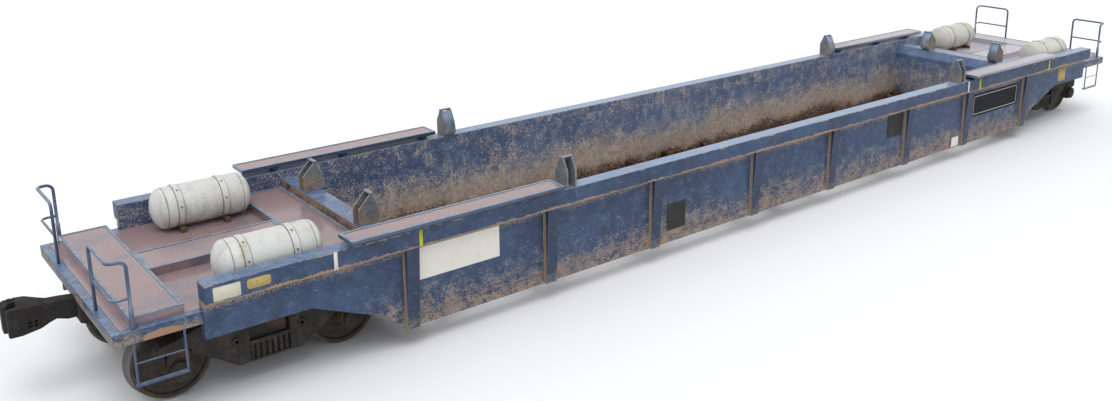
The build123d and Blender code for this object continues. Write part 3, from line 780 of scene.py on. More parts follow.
# %% Steel, sign and label finishes
finishes |= {
    "tread": tread_plate("tread_plate"),
    "running_tread": tread_plate("running_tread", (PAINT_DARK, PAINT)),
    "ridge": tread_ridge("tread_ridge"),
    "tank": tank_paint("tank_paint"),
    "wheel": rolled_wheel("wheel_steel"),
    "sign": sign_paint("sign_paint"),
    "iron": patched("cast_iron", IRON, IRON_DUST, 7.0, 0.8),
    "bolster": patched("bolster_iron", IRON, IRON_DUST, 7.0, 0.8, glow=srgb(78, 60, 46)),
    "bearing": patched("bearing_rust", srgb(50, 43, 37), srgb(68, 54, 43), 12.0, 0.8, glow=srgb(94, 66, 47)),
    "coupler": patched("coupler_iron", srgb(36, 34, 33), srgb(50, 46, 42), 7.0, 0.8),
    "rust": patched("floor_rust", RUST_DARK, srgb(112, 80, 58), 5.0, 0.85),
    "board": patched("board_cream", srgb(222, 219, 208), srgb(196, 190, 172), 9.0, 0.5, level=0.68),
    "dark": patched("cover_dark", srgb(46, 48, 47), srgb(58, 57, 54), 6.0),
    "sign_line": patched("sign_line", srgb(186, 182, 162), srgb(112, 108, 96), 24.0, 0.6, level=0.62),
    "coil": patched("spring_steel", srgb(84, 78, 68), IRON_DUST, 12.0, 0.7),
    "weld": patched("weld_rust", RUST_TAN, RUST_LINE, 14.0, 0.8),
    "label": patched("label_pale", srgb(206, 202, 182), srgb(150, 138, 118), 30.0, 0.5, level=0.66),
    "label_yellow": patched("label_yellow", srgb(180, 160, 98), srgb(128, 108, 66), 30.0, 0.5, level=0.64),
    "tick_white": patched("tick_white", srgb(216, 214, 206), srgb(160, 158, 150), 30.0, 0.5, level=0.66),
    "tick_yellow": patched("tick_yellow", srgb(206, 204, 40), srgb(160, 150, 48), 30.0, 0.5, level=0.66),
    "bolt": patched("bolt_grey", srgb(150, 146, 134), srgb(104, 96, 82), 40.0, 0.6),
    "strap": patched("strap_rust", srgb(104, 80, 62), srgb(70, 54, 44), 9.0),
}
print("finishes in all:", len(finishes))

# %% [markdown]
# ## Dressing the CAD pieces
# A CAD piece keeps its mesh and only gets a material. Wheels, trucks and axles are told by the start of
# their names, and small brackets that nobody looks at closely share the trim paint. It could be picked by
# hand for all of them, but a table by name is easy to read through and to change.

# %% One finish for every node
node_finish = {
    "top_chords": "chord", "side_sheets": "sheet", "side_sills": "sill", "side_ribs": "rib",
    "floor_ledges": "rust", "floor_crossbearers": "rust", "floor_braces": "rust",
    "container_pedestals": "rust", "bulkhead_beams": "beam", "bulkhead_walls": "wall",
    "end_sills": "platform", "platform_side_bars": "platform",
    "deck_plates": "tread", "end_walkways": "tread", "centre_walkways": "tread", "bulkhead_walkways": "tread",
    "walkway_edges": "edging", "running_board_edges": "edging", "running_boards": "running_tread",
    "draft_sills": "iron", "body_bolsters": "iron", "couplers": "coupler", "coupler_knuckles": "coupler",
    "air_tanks": "tank", "tank_bands": "tank", "tank_feet": "strap",
    "handrails": "pipe", "side_steps": "pipe",
    "bulkhead_guide_plates": "guide", "bulkhead_guide_caps": "guide", "chord_guide_plates": "guide",
    "chord_guide_caps": "guide", "number_boards": "board", "sign_boards": "sign", "cover_plates": "dark",
    "truck_near_bolster": "bolster", "truck_far_bolster": "bolster", "truck_near_bearings": "bearing",
    "truck_far_bearings": "bearing",
}
name_starts = {"wheels": "wheel", "truck": "iron", "axle": "iron"}
for name, node in nodes.items():
    by_start = [key for start, key in name_starts.items() if name.startswith(start)]
    finish = node_finish.get(name) or (by_start + ["trim"])[0]
    node.data.materials.clear()
    node.data.materials.append(finishes[finish])
print("nodes dressed:", len(nodes))

# %% [markdown]
# ## Helpers for new meshes
# A shape can be modelled by hand, but these repeat many times and follow exact sizes, so each is worked out
# as arrays of points and written into a mesh in one go. A helper links the mesh, gives it a finish, and
# lets it ride on the body that carries it.

# %% From arrays to a piece
added = []


def tidy(mesh, distance, flat=None):
    """Merges doubled points, joins flat triangles if asked to, and turns every face outwards."""
    work = bmesh.new()
    work.from_mesh(mesh)
    bmesh.ops.remove_doubles(work, verts=work.verts, dist=distance)
    if flat:
        bmesh.ops.dissolve_limit(work, angle_limit=math.radians(flat), verts=work.verts, edges=work.edges)
    bmesh.ops.recalc_face_normals(work, faces=work.faces)
    work.to_mesh(mesh)
    work.free()


def shade(mesh, angle):
    """Faces that meet at less than this angle in degrees shade as one smooth surface."""
    mesh.polygons.foreach_set("use_smooth", np.ones(len(mesh.polygons), dtype=bool))
    mesh.set_sharp_from_angle(angle=math.radians(angle))
    mesh.update()


def mount(name, mesh, body):
    """Links the mesh as an object at the origin, on the body that carries it."""
    thing = bpy.data.objects.new(name, mesh)
    bpy.context.scene.collection.objects.link(thing)
    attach(thing, body)
    added.append(thing)
    return thing


def piece(name, points, faces, finish, body="carbody", smooth=None, merge=0.0):
    """A mesh from an array of points and a list of face arrays, each with one row of corner numbers per face.

    smooth is the angle in degrees under which faces shade as one surface, and merge joins close points.
    """
    mesh = bpy.data.meshes.new(name)
    mesh.vertices.add(len(points))
    mesh.vertices.foreach_set("co", np.asarray(points, dtype=np.float32).ravel())
    corners = np.concatenate([f.ravel() for f in faces]).astype(np.int32)
    sides = np.concatenate([np.full(len(f), f.shape[1]) for f in faces])
    starts = np.concatenate([[0], np.cumsum(sides)[:-1]]).astype(np.int32)
    mesh.loops.add(len(corners))
    mesh.loops.foreach_set("vertex_index", corners)
    mesh.polygons.add(len(starts))
    mesh.polygons.foreach_set("loop_start", starts)
    mesh.update(calc_edges=True)
    if merge:
        tidy(mesh, merge)
    if smooth is not None:
        shade(mesh, smooth)
    mesh.materials.append(finishes[finish])
    return mount(name, mesh, body)


print("helpers: tidy, shade, mount, piece")

# %% Grids, copies and mirrors
def grid_faces(rows, columns, wrap=False):
    """Corner numbers of the quads of a grid of points. wrap joins the last column to the first."""
    r, c = np.meshgrid(np.arange(rows - 1), np.arange(columns if wrap else columns - 1), indexing="ij")
    after = (c + 1) % columns
    quad = [r * columns + c, r * columns + after, (r + 1) * columns + after, (r + 1) * columns + c]
    return np.stack(quad, -1).reshape(-1, 4)


def repeated(points, faces, copies):
    """The same faces for each of several copies of a shape that has this many points."""
    offset = (np.arange(copies) * points)[:, None, None]
    return (faces[None] + offset).reshape(-1, faces.shape[1])


def both_ends_and_sides(points):
    """A block of points copied to the four corners of the car: mirrored in X, in Y, and in both."""
    signs = np.array([(1, 1, 1), (1, -1, 1), (-1, 1, 1), (-1, -1, 1)])
    return points[None] * signs[:, None, :]


print("faces of a closed strip of 6:", len(grid_faces(2, 6, wrap=True)))

# %% [markdown]
# ## Soft edges and smooth rounds
# Rolled and cast steel has no razor edges, and a thin bright line along every edge is what makes a render
# look solid. The Bevel modifier rounds the edges of a copy of each CAD piece. The copy is merged first,
# because the CAD mesh is loose triangles, and its flat triangles are joined so that only real edges are
# rounded. Pipes, wheels, axles and couplers get no bevel but smooth shading.

# %% Copies with soft edges
# width of the rounding in millimetres
SOFT_EDGES = {"top_chords": 5, "side_ribs": 4, "end_sills": 5, "platform_side_bars": 5, "bulkhead_beams": 5,
              "coupler_knuckles": 8, "bulkhead_guide_plates": 3, "bulkhead_guide_caps": 3,
              "chord_guide_plates": 3, "chord_guide_caps": 3,
              "running_board_edges": 1.5, "walkway_edges": 1.5,
              "running_board_brackets": 2, "container_pedestals": 3, "draft_sills": 5, "body_bolsters": 5,
              "floor_crossbearers": 4, "tank_feet": 3, "side_steps": 2, "number_boards": 1, "sign_boards": 1,
              "cover_plates": 1}
TRUCK_EDGES = {"side_frames": 7, "bolster": 5, "bearings": 3, "brake_beams": 3}
for end in ("near", "far"):
    SOFT_EDGES.update({f"truck_{end}_{part}": width for part, width in TRUCK_EDGES.items()})


def copy_of(name, distance, flat=None):
    """A merged copy of a CAD piece that stands in for it."""
    node = nodes[name]
    mesh = node.data.copy()
    mesh.name = name + "_soft"
    tidy(mesh, distance, flat)
    thing = mount(name + "_soft", mesh, body_of(node)[0])
    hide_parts(name)
    return thing


for name, width in SOFT_EDGES.items():
    thing = copy_of(name, 1e-5, flat=0.5)
    shade(thing.data, 30)
    bevel = thing.modifiers.new("soft_edges", "BEVEL")
    bevel.width = width / 1000
    bevel.segments = 2
    bevel.limit_method = "ANGLE"
    bevel.angle_limit = math.radians(35)
    bevel.harden_normals = False
print("copies with soft edges:", len(SOFT_EDGES))

# %% Copies with smooth shading
ROUND_SHADED = ["handrails", "couplers"] + [n for n in nodes if n.startswith(("wheels_", "axle_"))]
for name in ROUND_SHADED:
    shade(copy_of(name, 2e-6).data, 32)
print("copies with smooth shading:", len(ROUND_SHADED))

# %% [markdown]
# A journal turns in its bearing with a film of oil between them. Both are many-sided here, and a flat side
# that turns past a corner would cut it. So the journals of the copies are drawn in by little more than a
# millimetre, which leaves them inside their bearings at every angle. Finer rounds would also clear one
# another, but at the cost of thousands of faces.

# %% Slack for the journals
JOURNAL_R = 0.080
JOURNAL_SLACK = 0.0012


def ease_journals(mesh, centre):
    """Points at the journal's radius r from the axle's centre in X and Z move in to r minus the slack."""
    points = np.empty(len(mesh.vertices) * 3, dtype=np.float32)
    mesh.vertices.foreach_get("co", points)
    points = points.reshape(-1, 3)
    arm = points[:, [0, 2]] - (centre, AXLE_Z)
    r = np.linalg.norm(arm, axis=1)
    on_journal = np.abs(r - JOURNAL_R) < 0.001
    arm[on_journal] *= ((JOURNAL_R - JOURNAL_SLACK) / r[on_journal])[:, None]
    points[:, [0, 2]] = arm + (centre, AXLE_Z)
    mesh.vertices.foreach_set("co", points.ravel())
    mesh.update()
    return int(on_journal.sum())


eased = [ease_journals(bpy.data.objects[f"axle_{name}_soft"].data, x) for name, x in WHEELSETS.items()]
print("journal points eased on each wheelset:", eased)

# %% [markdown]
# ## Air tanks
# A tank is a rolled shell with two pressed ends. The seams where they meet are ground nearly flush and show
# as thin grooves. It could be made with Spin, but turning a profile by array gives the exact dish of the
# CAD tank: a shallow sphere with a rolled edge.

# %% Tank shells
TANK_R = 0.239
TANK_AXIS = (0.0, -0.983, 1.367)
DISH = 0.135                 # depth of an end past its seam
ROLL = 0.080                 # radius of its rolled edge
GROOVE = np.array([(0.004, 0.0), (0.008, -0.0025), (0.012, 0.0)])


def turned(profile, sides):
    """Surface of revolution about X: profile point (a, r) at angle t gives (a, r cos t, r sin t)."""
    t = np.linspace(0, 2 * np.pi, sides, endpoint=False)
    a, r = profile[:, :1], profile[:, 1:]
    grid = np.stack([np.broadcast_to(a, (len(profile), sides)), r * np.cos(t), r * np.sin(t)], -1)
    return grid.reshape(-1, 3), grid_faces(len(profile), sides, wrap=True)[:, ::-1]


def dish_profile():
    """Half a tank end from its middle outwards, as (depth past the seam, radius): sphere, then rolled edge.

    With dish d, neck n and roll q, the sphere that meets both has radius (d^2 + n^2 - q^2) / (2 (d - q)).
    """
    neck = TANK_R - ROLL
    crown_r = (DISH ** 2 + neck ** 2 - ROLL ** 2) / (2 * (DISH - ROLL))
    crown_x = DISH - crown_r
    meet = math.atan2(neck, -crown_x)
    a = np.linspace(0, meet, 12)
    b = np.linspace(meet, np.pi / 2, 9)[1:]
    crown = np.stack([crown_x + crown_r * np.cos(a), crown_r * np.sin(a)], -1)
    rolled = np.stack([ROLL * np.cos(b), neck + ROLL * np.sin(b)], -1)
    return np.concatenate([crown, rolled])


dish = dish_profile()
near_half = np.concatenate([dish * (-1, 1) + (TANK_ENDS[0], 0), GROOVE + (TANK_ENDS[0], TANK_R)])
far_half = np.concatenate([dish + (TANK_ENDS[1], 0), GROOVE * (-1, 1) + (TANK_ENDS[1], TANK_R)])
shell, shell_faces = turned(np.concatenate([near_half, far_half[::-1]]), sides=72)
shells = both_ends_and_sides(shell + TANK_AXIS).reshape(-1, 3)
tanks = piece("tank_shells", shells, [repeated(len(shell), shell_faces, 4)], "tank",
              smooth=35, merge=1e-5)
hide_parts("air_tanks")
print("tank shells:", len(tanks.data.polygons), "faces")

# %% [markdown]
# Two bands clamp each tank to its feet. A band is the same turn of a flat profile with rounded edges, and
# it carries bolts whose heads are low domes. The dome could be a squashed sphere, but a few rings of its
# own need far fewer faces, and the car has many bolts.

# %% Tank bands
BAND_T = 0.006
BAND_ROUND = 0.0018
BAND_TOP = TANK_R + BAND_T
half_band = np.array([(BAND_HALF - BAND_ROUND, BAND_TOP), (BAND_HALF, BAND_TOP - BAND_ROUND),
                      (BAND_HALF, TANK_R - 0.001)])
band = np.concatenate([half_band[::-1] * (-1, 1), half_band, half_band[-1:] * (-1, 1)])
hoop, hoop_faces = turned(band, sides=96)
hoops = np.concatenate([hoop + (x, 0, 0) for x in BAND_X]) + TANK_AXIS
straps = piece("tank_straps", both_ends_and_sides(hoops).reshape(-1, 3),
               [repeated(len(hoop), hoop_faces, 4 * len(BAND_X))], "tank",
               smooth=35, merge=1e-6)
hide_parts("tank_bands")
print("tank straps:", len(straps.data.polygons), "faces")

# %% Bolts on the bands
BOLT_ANGLES = np.radians([12, 62, 118, 168, 222, 318])
BOLT_R = 0.014
BOLT_H = 0.010
DOME_STEPS = np.array([0.0, 0.35, 0.75, 1.15, 1.5])
FOOT_SUNK = 0.002


def stud(radius, height, sides=12):
    """Domed head on the XY plane: rings of radius r cos p at height h sin p, over a short sunk foot."""
    t = np.linspace(0, 2 * np.pi, sides, endpoint=False)
    reach = radius * np.cos(DOME_STEPS)[:, None]
    rise = height * np.sin(DOME_STEPS)[:, None]
    rings = np.stack([reach * np.cos(t), reach * np.sin(t), rise * np.ones(sides)], -1)
    rings = np.concatenate([rings[:1] - (0, 0, FOOT_SUNK), rings])
    faces = grid_faces(len(rings), sides, wrap=True)
    lid = np.arange(sides)[None] + (len(rings) - 1) * sides
    foot = np.arange(sides)[None, ::-1]
    return rings.reshape(-1, 3), [faces, lid, foot]


head, head_faces = stud(BOLT_R, BOLT_H)
none, cos_a, sin_a = np.zeros(len(BOLT_ANGLES)), np.cos(BOLT_ANGLES), np.sin(BOLT_ANGLES)
outwards = np.stack([none, cos_a, sin_a], -1)[:, None]
round_hoop = np.stack([none, -sin_a, cos_a], -1)[:, None]
# a head's own x lies along the car, its y round the hoop, and its z out from the shell
bolts = (head[:, :1] * (1.0, 0.0, 0.0) + head[None, :, 1:2] * round_hoop +
         (head[None, :, 2:] + BAND_TOP) * outwards).reshape(-1, 3)
bolts = np.concatenate([bolts + (x, 0, 0) for x in BAND_X]) + TANK_AXIS
bolts = both_ends_and_sides(bolts).reshape(-1, 3)
heads = len(bolts) // len(head)
piece("tank_strap_bolts", bolts, [repeated(len(head), f, heads) for f in head_faces], "bolt",
      smooth=50, merge=1e-6)
print("bolts on the bands:", heads)

# %% [markdown]
# ## Tread plate
# The decks are rolled with small slanting lens-shaped ridges. A texture could fake them, but real ridges
# catch the light at the right places in every view. One lens is six points, and numpy sets it out in
# staggered rows over each rectangle of plate.

# %% One ridge and the plates
RIDGE_PITCH = 0.044
RIDGE_ROW = 0.022
RIDGE_HALF = 0.019
RIDGE_WIDE = 0.0065
RIDGE_HIGH = 0.0025
RIDGE_TURN = math.radians(24)
lens = np.array([(-RIDGE_HALF, 0, 0), (0, -RIDGE_WIDE, 0), (RIDGE_HALF, 0, 0), (0, RIDGE_WIDE, 0),
                 (-RIDGE_HALF / 3, 0, RIDGE_HIGH), (RIDGE_HALF / 3, 0, RIDGE_HIGH)])
lens_faces = np.array([(0, 1, 4), (1, 5, 4), (1, 2, 5), (2, 3, 5), (3, 4, 5), (3, 0, 4)])
lens_foot = np.array([(0, 3, 2, 1)])
# rectangles of the near end: (x0, x1, y0, y1, height of the surface, width of the edging round it)
EDGE = 0.032
DECK_Z, WALKWAY_Z, BOARD_Z = 1.110, 1.199, 1.501
BOARD = (-7.030, -4.330, -1.620, -1.304)
PLATES = [(-9.205, -9.118, -1.290, 1.290, DECK_Z, 0.0),
          (-8.616, -7.104, -1.290, -0.274, DECK_Z, 0.0),
          (-8.616, -7.104, 0.274, 1.290, DECK_Z, 0.0),
          (-9.114, -8.620, -1.300, 1.300, WALKWAY_Z, EDGE),
          (-8.620, -7.100, -0.270, 0.270, WALKWAY_Z, EDGE),
          (-7.100, -6.560, -1.298, 1.298, WALKWAY_Z, EDGE),
          (*BOARD, BOARD_Z, EDGE),
          (BOARD[0], BOARD[1], -BOARD[3], -BOARD[2], BOARD_Z, EDGE)]
print("plates at each end:", len(PLATES))

# %% Ridges over all the plates
def ridge_places(x0, x1, y0, y1, z, edge):
    """Staggered rows of lens centres that keep their whole length on the plate."""
    reach = edge + RIDGE_HALF + 0.004
    xs = np.arange(x0 + reach, x1 - reach, RIDGE_PITCH)
    ys = np.arange(y0 + reach, y1 - reach, RIDGE_ROW)
    gx, gy = np.meshgrid(xs, ys, indexing="ij")
    gx = gx + (np.arange(len(ys)) % 2) * RIDGE_PITCH / 2
    spots = np.stack([gx.ravel(), gy.ravel(), np.full(gx.size, z)], -1)
    return spots[spots[:, 0] < x1 - reach]


spots = np.concatenate([ridge_places(*plate) for plate in PLATES])
cos_t, sin_t = math.cos(RIDGE_TURN), math.sin(RIDGE_TURN)
lens_turned = lens @ np.array([(cos_t, sin_t, 0), (-sin_t, cos_t, 0), (0, 0, 1)])
for label, sign in (("near", 1), ("far", -1)):
    ridges = (spots[:, None] + lens_turned) * (sign, 1, 1)
    # the mirrored end turns inside out, so its corners run the other way round
    sheets = [repeated(len(lens), f, len(spots))[:, ::sign] for f in (lens_faces, lens_foot)]
    piece(f"tread_ridges_{label}", ridges.reshape(-1, 3), sheets, "ridge")
print("tread ridges:", 2 * len(spots))

# %% [markdown]
# ## Coil springs
# A coil is a round wire carried along a helix. The Screw modifier could draw one, but the two trucks
# together hold eighty of them, so one coil is computed and set down at every place. The last turn at each
# end lies flat, as on a real spring, so that it sits on its seat. The middle row stands between the outer
# ones.

# %% One coil
COIL_R = 0.0163
WIRE_R = 0.0076
COIL_LOW = 0.296
COIL_HIGH = 0.465
COIL_TURNS = 8
COIL_FLAT = 0.09             # share of the wire that lies flat at each end
STEPS_PER_TURN = 14
WIRE_SIDES = 6


def coil():
    """Tube round a helix: at u from 0 to 1 the angle is 2 pi n u, and the height rises between two flat ends.

    The wire's section is a ring of radius w in the plane through the spring's axis.
    """
    u = np.linspace(0, 1, COIL_TURNS * STEPS_PER_TURN + 1)
    t = 2 * np.pi * COIL_TURNS * u
    rise = np.clip((u - COIL_FLAT) / (1 - 2 * COIL_FLAT), 0, 1)
    z = COIL_LOW + WIRE_R + rise * (COIL_HIGH - COIL_LOW - 2 * WIRE_R)
    out = np.stack([np.cos(t), np.sin(t), np.zeros_like(t)], -1)
    up = np.array([0.0, 0.0, 1.0])
    centre = out * COIL_R + z[:, None] * up
    p = np.linspace(0, 2 * np.pi, WIRE_SIDES, endpoint=False)[:, None]
    rings = centre[:, None] + WIRE_R * (np.cos(p) * out[:, None] + np.sin(p) * up)
    ends = np.array([np.arange(WIRE_SIDES), np.arange(WIRE_SIDES)[::-1] + (len(u) - 1) * WIRE_SIDES])
    return rings.reshape(-1, 3), [grid_faces(len(u), WIRE_SIDES, wrap=True)[:, ::-1], ends]


wire, wire_faces = coil()
print("one coil:", len(wire), "points")

# %% Spring groups
SPRING_PITCH = 0.062
SPRING_Y = 1.003
ROW_GAP = 0.040
TRUCK_X = 7.745
outer_rows = [(i * SPRING_PITCH, side * SPRING_Y + gap, 0)
              for side in (-1, 1) for gap in (-ROW_GAP, ROW_GAP) for i in range(-3, 4)]
middle_rows = [((i + 0.5) * SPRING_PITCH, side * SPRING_Y, 0) for side in (-1, 1) for i in range(-3, 3)]
seats = np.array(outer_rows + middle_rows)
for label, centre_x in (("near", -TRUCK_X), ("far", TRUCK_X)):
    wires = wire + (seats + (centre_x, 0, 0))[:, None]
    group = piece(f"coil_springs_{label}", wires.reshape(-1, 3),
                  [repeated(len(wire), f, len(seats)) for f in wire_faces], "coil",
                  f"truck_{label}", smooth=60, merge=1e-6)
    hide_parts(f"truck_{label}_springs")
print("coil springs:", 2 * len(seats))

# %% [markdown]
# ## Weld beads
# Ribs and sills are joined to the sheets by fillet welds, a quarter-round bead with fine ripples from the
# welder's weave. It could be a bent tube with a bump texture, but ripples in the mesh catch the light as
# steel does. A bead here is a thin tube along its seam, half sunk into the steel, whose radius swells and
# shrinks.

# %% One bead
BEAD_SIDES = 5
WEAVE = 0.16                 # share of the radius by which a bead swells
RIPPLE = 2.1                 # turn of the swelling from ring to ring: once round in about three


def bead(start, end, radius, step):
    """Tube from start to end: ring i has the radius r (1 + w sin(2.1 i)), and both ends are drawn in."""
    start, end = np.array(start, float), np.array(end, float)
    length = np.linalg.norm(end - start)
    steps = int(length / step)
    s = np.linspace(0, 1, steps + 1)
    axis = (end - start) / length
    side = np.cross(axis, (0.0, 1.0, 0.0))
    side /= np.linalg.norm(side)
    up = np.cross(axis, side)
    p = np.linspace(0, 2 * np.pi, BEAD_SIDES, endpoint=False)[:, None]
    r = radius * (1 + WEAVE * np.sin(np.arange(steps + 1) * RIPPLE))
    r = np.where((s == 0) | (s == 1), 0.4 * r, r)
    middles = start + s[:, None] * (end - start)
    rings = middles[:, None] + r[:, None, None] * (np.cos(p) * side + np.sin(p) * up)
    ends = np.array([np.arange(BEAD_SIDES), np.arange(BEAD_SIDES)[::-1] + steps * BEAD_SIDES])
    return rings.reshape(-1, 3), grid_faces(steps + 1, BEAD_SIDES, wrap=True), ends


RIB_FOOT_Z, RIB_TOP_Z = 0.255, 1.197
SILL_END_X, SILL_Z = 6.5, 0.4
rib_points, rib_quads, rib_ends = bead((0, 0, RIB_FOOT_Z), (0, 0, RIB_TOP_Z), radius=0.0065, step=0.022)
sill_points, sill_quads, sill_ends = bead((-SILL_END_X, 0, SILL_Z), (SILL_END_X, 0, SILL_Z),
                                          radius=0.004, step=0.050)
print("points in a rib's bead:", len(rib_points), "in a sill's:", len(sill_points))

# %% Beads along ribs and sills
RIB_X = np.array([-6.279, -4.412, -2.727, -0.843, 0.843, 2.727, 4.412, 6.279])
RIB_HALF = 0.0775
RIB_ROOT_Y = 1.4025
SILL_TOP_Y = 1.4015
corners = np.array([(x + edge * RIB_HALF, y * RIB_ROOT_Y, 0)
                    for x in RIB_X for edge in (-1, 1) for y in (-1, 1)])
sills = np.array([(0, y * SILL_TOP_Y, 0) for y in (-1, 1)])
bead_points = np.concatenate([(rib_points + corners[:, None]).reshape(-1, 3),
                              (sill_points + sills[:, None]).reshape(-1, 3)])
after_ribs = len(corners) * len(rib_points)
bead_faces = []
for rib_part, sill_part in ((rib_quads, sill_quads), (rib_ends, sill_ends)):
    bead_faces.append(np.concatenate([repeated(len(rib_points), rib_part, len(corners)),
                                      repeated(len(sill_points), sill_part, len(sills)) + after_ribs]))
piece("weld_beads", bead_points, bead_faces, "weld", smooth=50, merge=1e-6)
print("weld beads:", len(corners) + len(sills))

# %% [markdown]
# ## Painted marks and small labels
# Along the near chord sit two small labels, and coloured ticks show the crane driver where a container's
# corners come. Each is a thin plate with rounded corners, computed from a rounded rectangle, so that it
# keeps a real edge. They are all blank.

# %% Marks on the side
MARK_T = 0.0015
CHORD_FACE = -1.5
SHEET_FACE = -1.402


def rounded_rectangle(x0, x1, z0, z1, corner, arc):
    """Points round a rectangle in X and Z: four quarter arcs of c (cos a, sin a) about the inset corners."""
    a = np.linspace(0, np.pi / 2, arc)
    centres = [(x1 - corner, z1 - corner), (x0 + corner, z1 - corner),
               (x0 + corner, z0 + corner), (x1 - corner, z0 + corner)]
    arcs = [np.stack([cx + corner * np.cos(a + k * np.pi / 2), cz + corner * np.sin(a + k * np.pi / 2)], -1)
            for k, (cx, cz) in enumerate(centres)]
    return np.concatenate(arcs)


def at_y(flat, y):
    """Points of a flat outline in X and Z set at one y."""
    return np.stack([flat[:, 0], np.full(len(flat), y), flat[:, 1]], -1)


def rounded_plate(x0, x1, z0, z1, y, corner):
    """Rounded rectangle at y, raised by its thickness towards -Y: a wall round it and two lids."""
    flat = rounded_rectangle(x0, x1, z0, z1, corner, 5)
    points = np.concatenate([at_y(flat, y), at_y(flat, y - MARK_T)])
    k = np.arange(len(flat))
    return points, [grid_faces(2, len(flat), wrap=True)[:, ::-1], np.stack([k[::-1], k + len(flat)])]


# (name, x0, x1, z0, z1, face, corner, finish)
MARKS = [("label_pale", -8.405, -8.140, 1.226, 1.366, CHORD_FACE, 0.006, "label"),
         ("label_yellow", -8.078, -7.840, 1.258, 1.361, CHORD_FACE, 0.030, "label_yellow"),
         ("tick_white_near", -7.182, -7.140, 1.206, 1.398, CHORD_FACE, 0.004, "tick_white"),
         ("tick_yellow_near", -6.200, -6.160, 1.206, 1.398, CHORD_FACE, 0.004, "tick_yellow"),
         ("tick_white_far", 4.280, 4.322, 1.206, 1.398, CHORD_FACE, 0.004, "tick_white"),
         ("tick_yellow_middle", 4.630, 4.672, 1.206, 1.398, CHORD_FACE, 0.004, "tick_yellow"),
         ("tick_yellow_far", 6.920, 6.962, 1.206, 1.398, CHORD_FACE, 0.004, "tick_yellow"),
         ("label_far", 7.510, 7.770, 0.881, 1.141, SHEET_FACE, 0.020, "label_yellow")]
for name, x0, x1, z0, z1, y, corner, finish in MARKS:
    points, faces = rounded_plate(x0, x1, z0, z1, y, corner)
    piece(name, points, faces, finish, merge=1e-6)
print("marks:", len(MARKS))

# %% [markdown]
# ## Sign border
# The sign has a painted line inside its edge, laid here as a ring between two rounded rectangles. Four
# loops of points, joined in turn and back to the first, give it a front, a back and two edges.

# %% Ring on the sign
SIGN_FACE = -1.406
BORDER_T = 0.001
BORDER_INSET = 0.034
BORDER_WIDTH = 0.013
SIGN = np.array([4.620, 6.070, 0.696, 1.091])
INWARDS = np.array([1, -1, 1, -1])


def ring_between(loops):
    """Quads between loops of equal length, with the last loop joined to the first."""
    count = len(loops[0])
    return np.concatenate(loops), grid_faces(len(loops) + 1, count, wrap=True) % (len(loops) * count)


outer = rounded_rectangle(*(SIGN + BORDER_INSET * INWARDS), 0.040, 6)
inner = rounded_rectangle(*(SIGN + (BORDER_INSET + BORDER_WIDTH) * INWARDS), 0.029, 6)
front, back = SIGN_FACE - BORDER_T, SIGN_FACE + BORDER_T / 2
ring, ring_faces = ring_between([at_y(outer, back), at_y(outer, front),
                                 at_y(inner, front), at_y(inner, back)])
piece("sign_border", ring, [ring_faces[:, ::-1]], "sign_line", merge=1e-6)
print("sign border:", len(ring_faces), "faces")

# %% [markdown]
# ## Guide faces
# Each container guide is closed on the side of the well by a bent sheet that follows the slope of its two
# plates, so that a corner casting slides down it. A sheet like that could be extruded from a curve, and an
# array of its profile points does the same with exact corners.

# %% Bent sheets
CHORD_SLOPE = [(-1.302, 1.4035), (-1.249, 1.440), (-1.2385, 1.500), (-1.2605, 1.600), (-1.334, 1.756)]
CHORD_GUIDE_X = (-4.202, -4.045)
END_SLOPE = [(-6.338, 1.306), (-6.2835, 1.350), (-6.2735, 1.410), (-6.3585, 1.640)]
END_GUIDE_Y = (-0.800, -0.635)
GUIDE_T = 0.008


def bent_sheet(profile, across, thick):
    """Sheet between a profile of (u, z) points and the same points moved by thick along their normals n.

    n is the run (du, dz) at the point, made one long and turned left to (-dz, du). across holds both ends.
    """
    p = np.array(profile, float)
    run = np.gradient(p, axis=0)
    run /= np.linalg.norm(run, axis=1)[:, None]
    back = p + thick * np.stack([-run[:, 1], run[:, 0]], -1)
    strip = np.concatenate([p, back[::-1]])
    points = np.concatenate([at_y(strip, a) for a in across])
    n, i = len(strip), np.arange(len(p) - 1)
    walls = grid_faces(2, n, wrap=True)
    lid = np.stack([i, i + 1, n - 2 - i, n - 1 - i], -1)
    return points, np.concatenate([walls, lid[:, ::-1], lid + n])


chord_face, chord_quads = bent_sheet(CHORD_SLOPE, CHORD_GUIDE_X, GUIDE_T)
end_face, end_quads = bent_sheet(END_SLOPE, END_GUIDE_Y, GUIDE_T)
# the chord's slope runs across the car, so its u is y and its other direction is x
for name, points, quads in (("chord_guide_faces", chord_face[:, [1, 0, 2]], chord_quads),
                            ("bulkhead_guide_faces", end_face, end_quads)):
    four = both_ends_and_sides(points).reshape(-1, 3)
    piece(name, four, [repeated(len(points), quads, 4)], "guide_face",
          merge=1e-6)
print("guide faces: 8")

# %% [markdown]
# ## Under the running boards
# A running board is a tread plate with a shallow lip bent down all round it, and two long stringers beneath
# carry it from bracket to bracket. A lip could be extruded down from the plate's edge. Here it is the ring
# between two rectangles, and a stringer is a thin bar set a little way in from the lip, in a dark rust brown
# that is partly painted shade under the board's edge.

# %% Lips and stringers
BOARD_UNDER = 1.475
LIP_T = 0.004
LIP_LOW = BOARD_UNDER - 0.012
STRINGER_T = 0.006
STRINGER_LOW = BOARD_UNDER - 0.020
STRINGER_SHORT = 0.020       # how far its ends stop short of the board's
STRINGER_IN = 0.010          # how far it stands in from the board's edge
OVERLAP = 0.0005             # how far both reach up into the plate


def rectangle_loop(shrink, z):
    """Four corners of the board's rectangle, drawn in by shrink on every side."""
    x0, x1, y0, y1 = BOARD
    return np.array([(x0 + shrink, y0 + shrink, z), (x1 - shrink, y0 + shrink, z),
                     (x1 - shrink, y1 - shrink, z), (x0 + shrink, y1 - shrink, z)])


